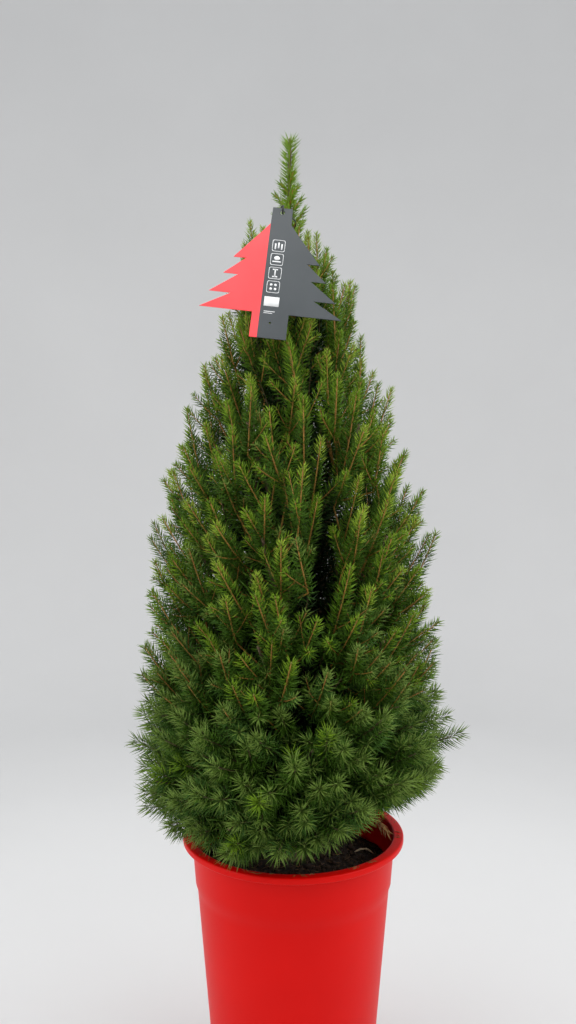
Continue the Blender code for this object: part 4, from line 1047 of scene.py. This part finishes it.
def print_patch(outline):
    """A thin printed shape on the tag's face, from its corners' own measures."""
    face = [tag_spot(*place, TAG_THICKNESS / 2 + PRINT_LIFT) for place in outline]
    back = [tag_spot(*place, TAG_THICKNESS / 2 - PRINT_LIFT) for place in outline]
    count = len(outline)
    middle = [sum(face, Vector()) / count, sum(back, Vector()) / count]
    faces = []
    for corner in range(count):
        following = (corner + 1) % count
        faces += [(2 * count, corner, following), (2 * count + 1, count + following, count + corner)]
        faces += [(corner, count + corner, count + following), (corner, count + following, following)]
    marks.add(face + back + middle, faces)


def rounded_square(across, drop, size):
    """Outline of a square with rounded corners."""
    outline = []
    straight = size / 2 - MARK_ROUNDING
    for corner, (side, down) in enumerate(CORNERS):
        start = 90 * corner
        outline += arc(across + side * straight, drop + down * straight, MARK_ROUNDING, start, start + 90, 4)
    return outline


def print_round(across, drop, width, height, steps):
    """A printed oval by its middle and half sizes."""
    turns = np.arange(steps) * math.tau / steps
    print_patch([(across + width * math.cos(turn), drop + height * math.sin(turn)) for turn in turns])


def print_bar(across, drop, width, height):
    """A printed bar by its middle and sizes."""
    print_patch([(across + side * width / 2, drop + down * height / 2) for side, down in CORNERS])


for (across, drop), bars, rounds in zip(MARK_PLACES, MARK_BARS, MARK_ROUNDS):
    outer = rounded_square(across, drop, MARK_SIZE)
    inner = rounded_square(across, drop, MARK_SIZE - 2 * MARK_LINE)
    for corner in range(len(outer)):
        following = (corner + 1) % len(outer)
        print_patch([outer[corner], outer[following], inner[following], inner[corner]])
    for right, down, *measures in bars:
        print_bar(across + right, drop + down, *measures)
    for right, down, *measures in rounds:
        print_round(across + right, drop + down, *measures)
for bar in PLAIN_BARS:
    print_bar(*bar)
piece_of("tag_print", *marks.joined(), white_print, "tag_sheet")

# The tie: a closed loop of thin extruded black plastic. It runs through the tag's hole
# and round the leader, and holds the tag up.
TIE_RADIUS = 0.0007
TIE_GAP = 0.0012
TIE_POINTS = 120
# Smooth extruded plastic: nearly black, with a narrow soft shine
black_plastic = patterned("extruded black plastic", "0C0C0D", "141415", 0.01, 0.0003, 0.000005, 0.42, IOR=1.5)
tie_height = tag_spot(0, 0).z
leader = trunk_middle(tie_height)
leader_side = table_value(TRUNK_TAPER, tie_height) + TIE_RADIUS + TIE_GAP
# Points that the loop runs through, from the tag's hole round the leader and back
tie_guide = [
    tag_spot(0, TAG_HOLE_DROP, 0.0),
    tag_spot(0.0012, TAG_HOLE_DROP, -0.006),
    leader + Vector((-leader_side * 1.5, -0.016, -0.002)),
    leader + Vector((-leader_side, 0, 0)),
    leader + Vector((0, leader_side, 0.0005)),
    leader + Vector((leader_side, 0, 0.001)),
    leader + Vector((leader_side * 1.5, -0.016, 0.003)),
    tag_spot(-0.0012, -0.0030, -0.006),
    tag_spot(0, -0.0028, 0.0),
    tag_spot(0, TAG_HOLE_DROP * 0.3, 0.0030),
]
tie_line = []
for index in range(TIE_POINTS):
    at = index * len(tie_guide) / TIE_POINTS
    share = at - int(at)
    before, start, end, after = (tie_guide[(int(at) + step) % len(tie_guide)] for step in (-1, 0, 1, 2))
    tie_line.append(
        start
        + (end - before) * (share * 0.5)
        + (before * 2 - start * 5 + end * 4 - after) * (share**2 * 0.5)
        + (start * 3 - end * 3 + after - before) * (share**3 * 0.5)
    )
tie_curve = bpy.data.curves.new("tie line", "CURVE")
tie_curve.dimensions = "3D"
tie_curve.bevel_depth = TIE_RADIUS
tie_curve.bevel_resolution = 3
loop = tie_curve.splines.new("POLY")
loop.points.add(TIE_POINTS - 1)
for spot, point in zip(loop.points, tie_line):
    spot.co = (*point, 1)
loop.use_cyclic_u = True
tie_curve.materials.append(black_plastic)
tie = bpy.data.objects.new("loop_tie", tie_curve)
bpy.context.scene.collection.objects.link(tie)
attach(tie, "root")
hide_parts("tag_tie")

# What has died or dropped: a small brown shoot low on the right, and a few loose
# needles that lie on the pot's lip.
DEAD_FOOT = Vector((0.060, -0.060, 0.326))
DEAD_TIP = Vector((0.080, -0.079, 0.305))
DEAD_NEEDLES = 46
DEAD_REACH = (0.009, 0.009)
DEAD_OPEN = (0.9, 0.6)
DEAD_DROOP = 0.2
DEAD_JOINT_HEIGHT = 0.312
DEAD_RADII = (0.0016, 0.0013, 0.0007)
# Dried needles: dull brown, with no wax left to shine
dead_brown = patterned("dry brown needles", "6E4A22", "97703A", 0.004, 0.0005, 0.00003, 0.7)
draw = np.random.default_rng(5)
dead = spray_needles(DEAD_FOOT, DEAD_TIP, DEAD_NEEDLES, DEAD_REACH, DEAD_OPEN, DEAD_DROOP, draw)
litter = Heap()
litter.add(*needle_shapes(dead))
litter.add(*tube([trunk_middle(DEAD_JOINT_HEIGHT), DEAD_FOOT, DEAD_TIP], DEAD_RADII, 6))
LOOSE_NEEDLES = 26
LOOSE_RADII = (0.0001, 0.0004, 0.0001)
LOOSE_TURNS = (-2.6, 0.6)
for _ in range(LOOSE_NEEDLES):
    turn = draw.uniform(*LOOSE_TURNS)
    heading = draw.uniform(0, math.tau)
    radius = (LIP_RADIUS + LIP_INNER_RADIUS) / 2 + draw.uniform(-0.002, 0.002)
    middle = np.array((radius * math.cos(turn), radius * math.sin(turn), POT_HEIGHT + 0.0005))
    half = np.array((math.cos(heading), math.sin(heading), 0.0)) * draw.uniform(0.002, 0.004)
    litter.add(*tube([middle - half, middle, middle + half], LOOSE_RADII, 4))
piece_of("dry_litter", *litter.joined(), dead_brown, "spruce_needles")
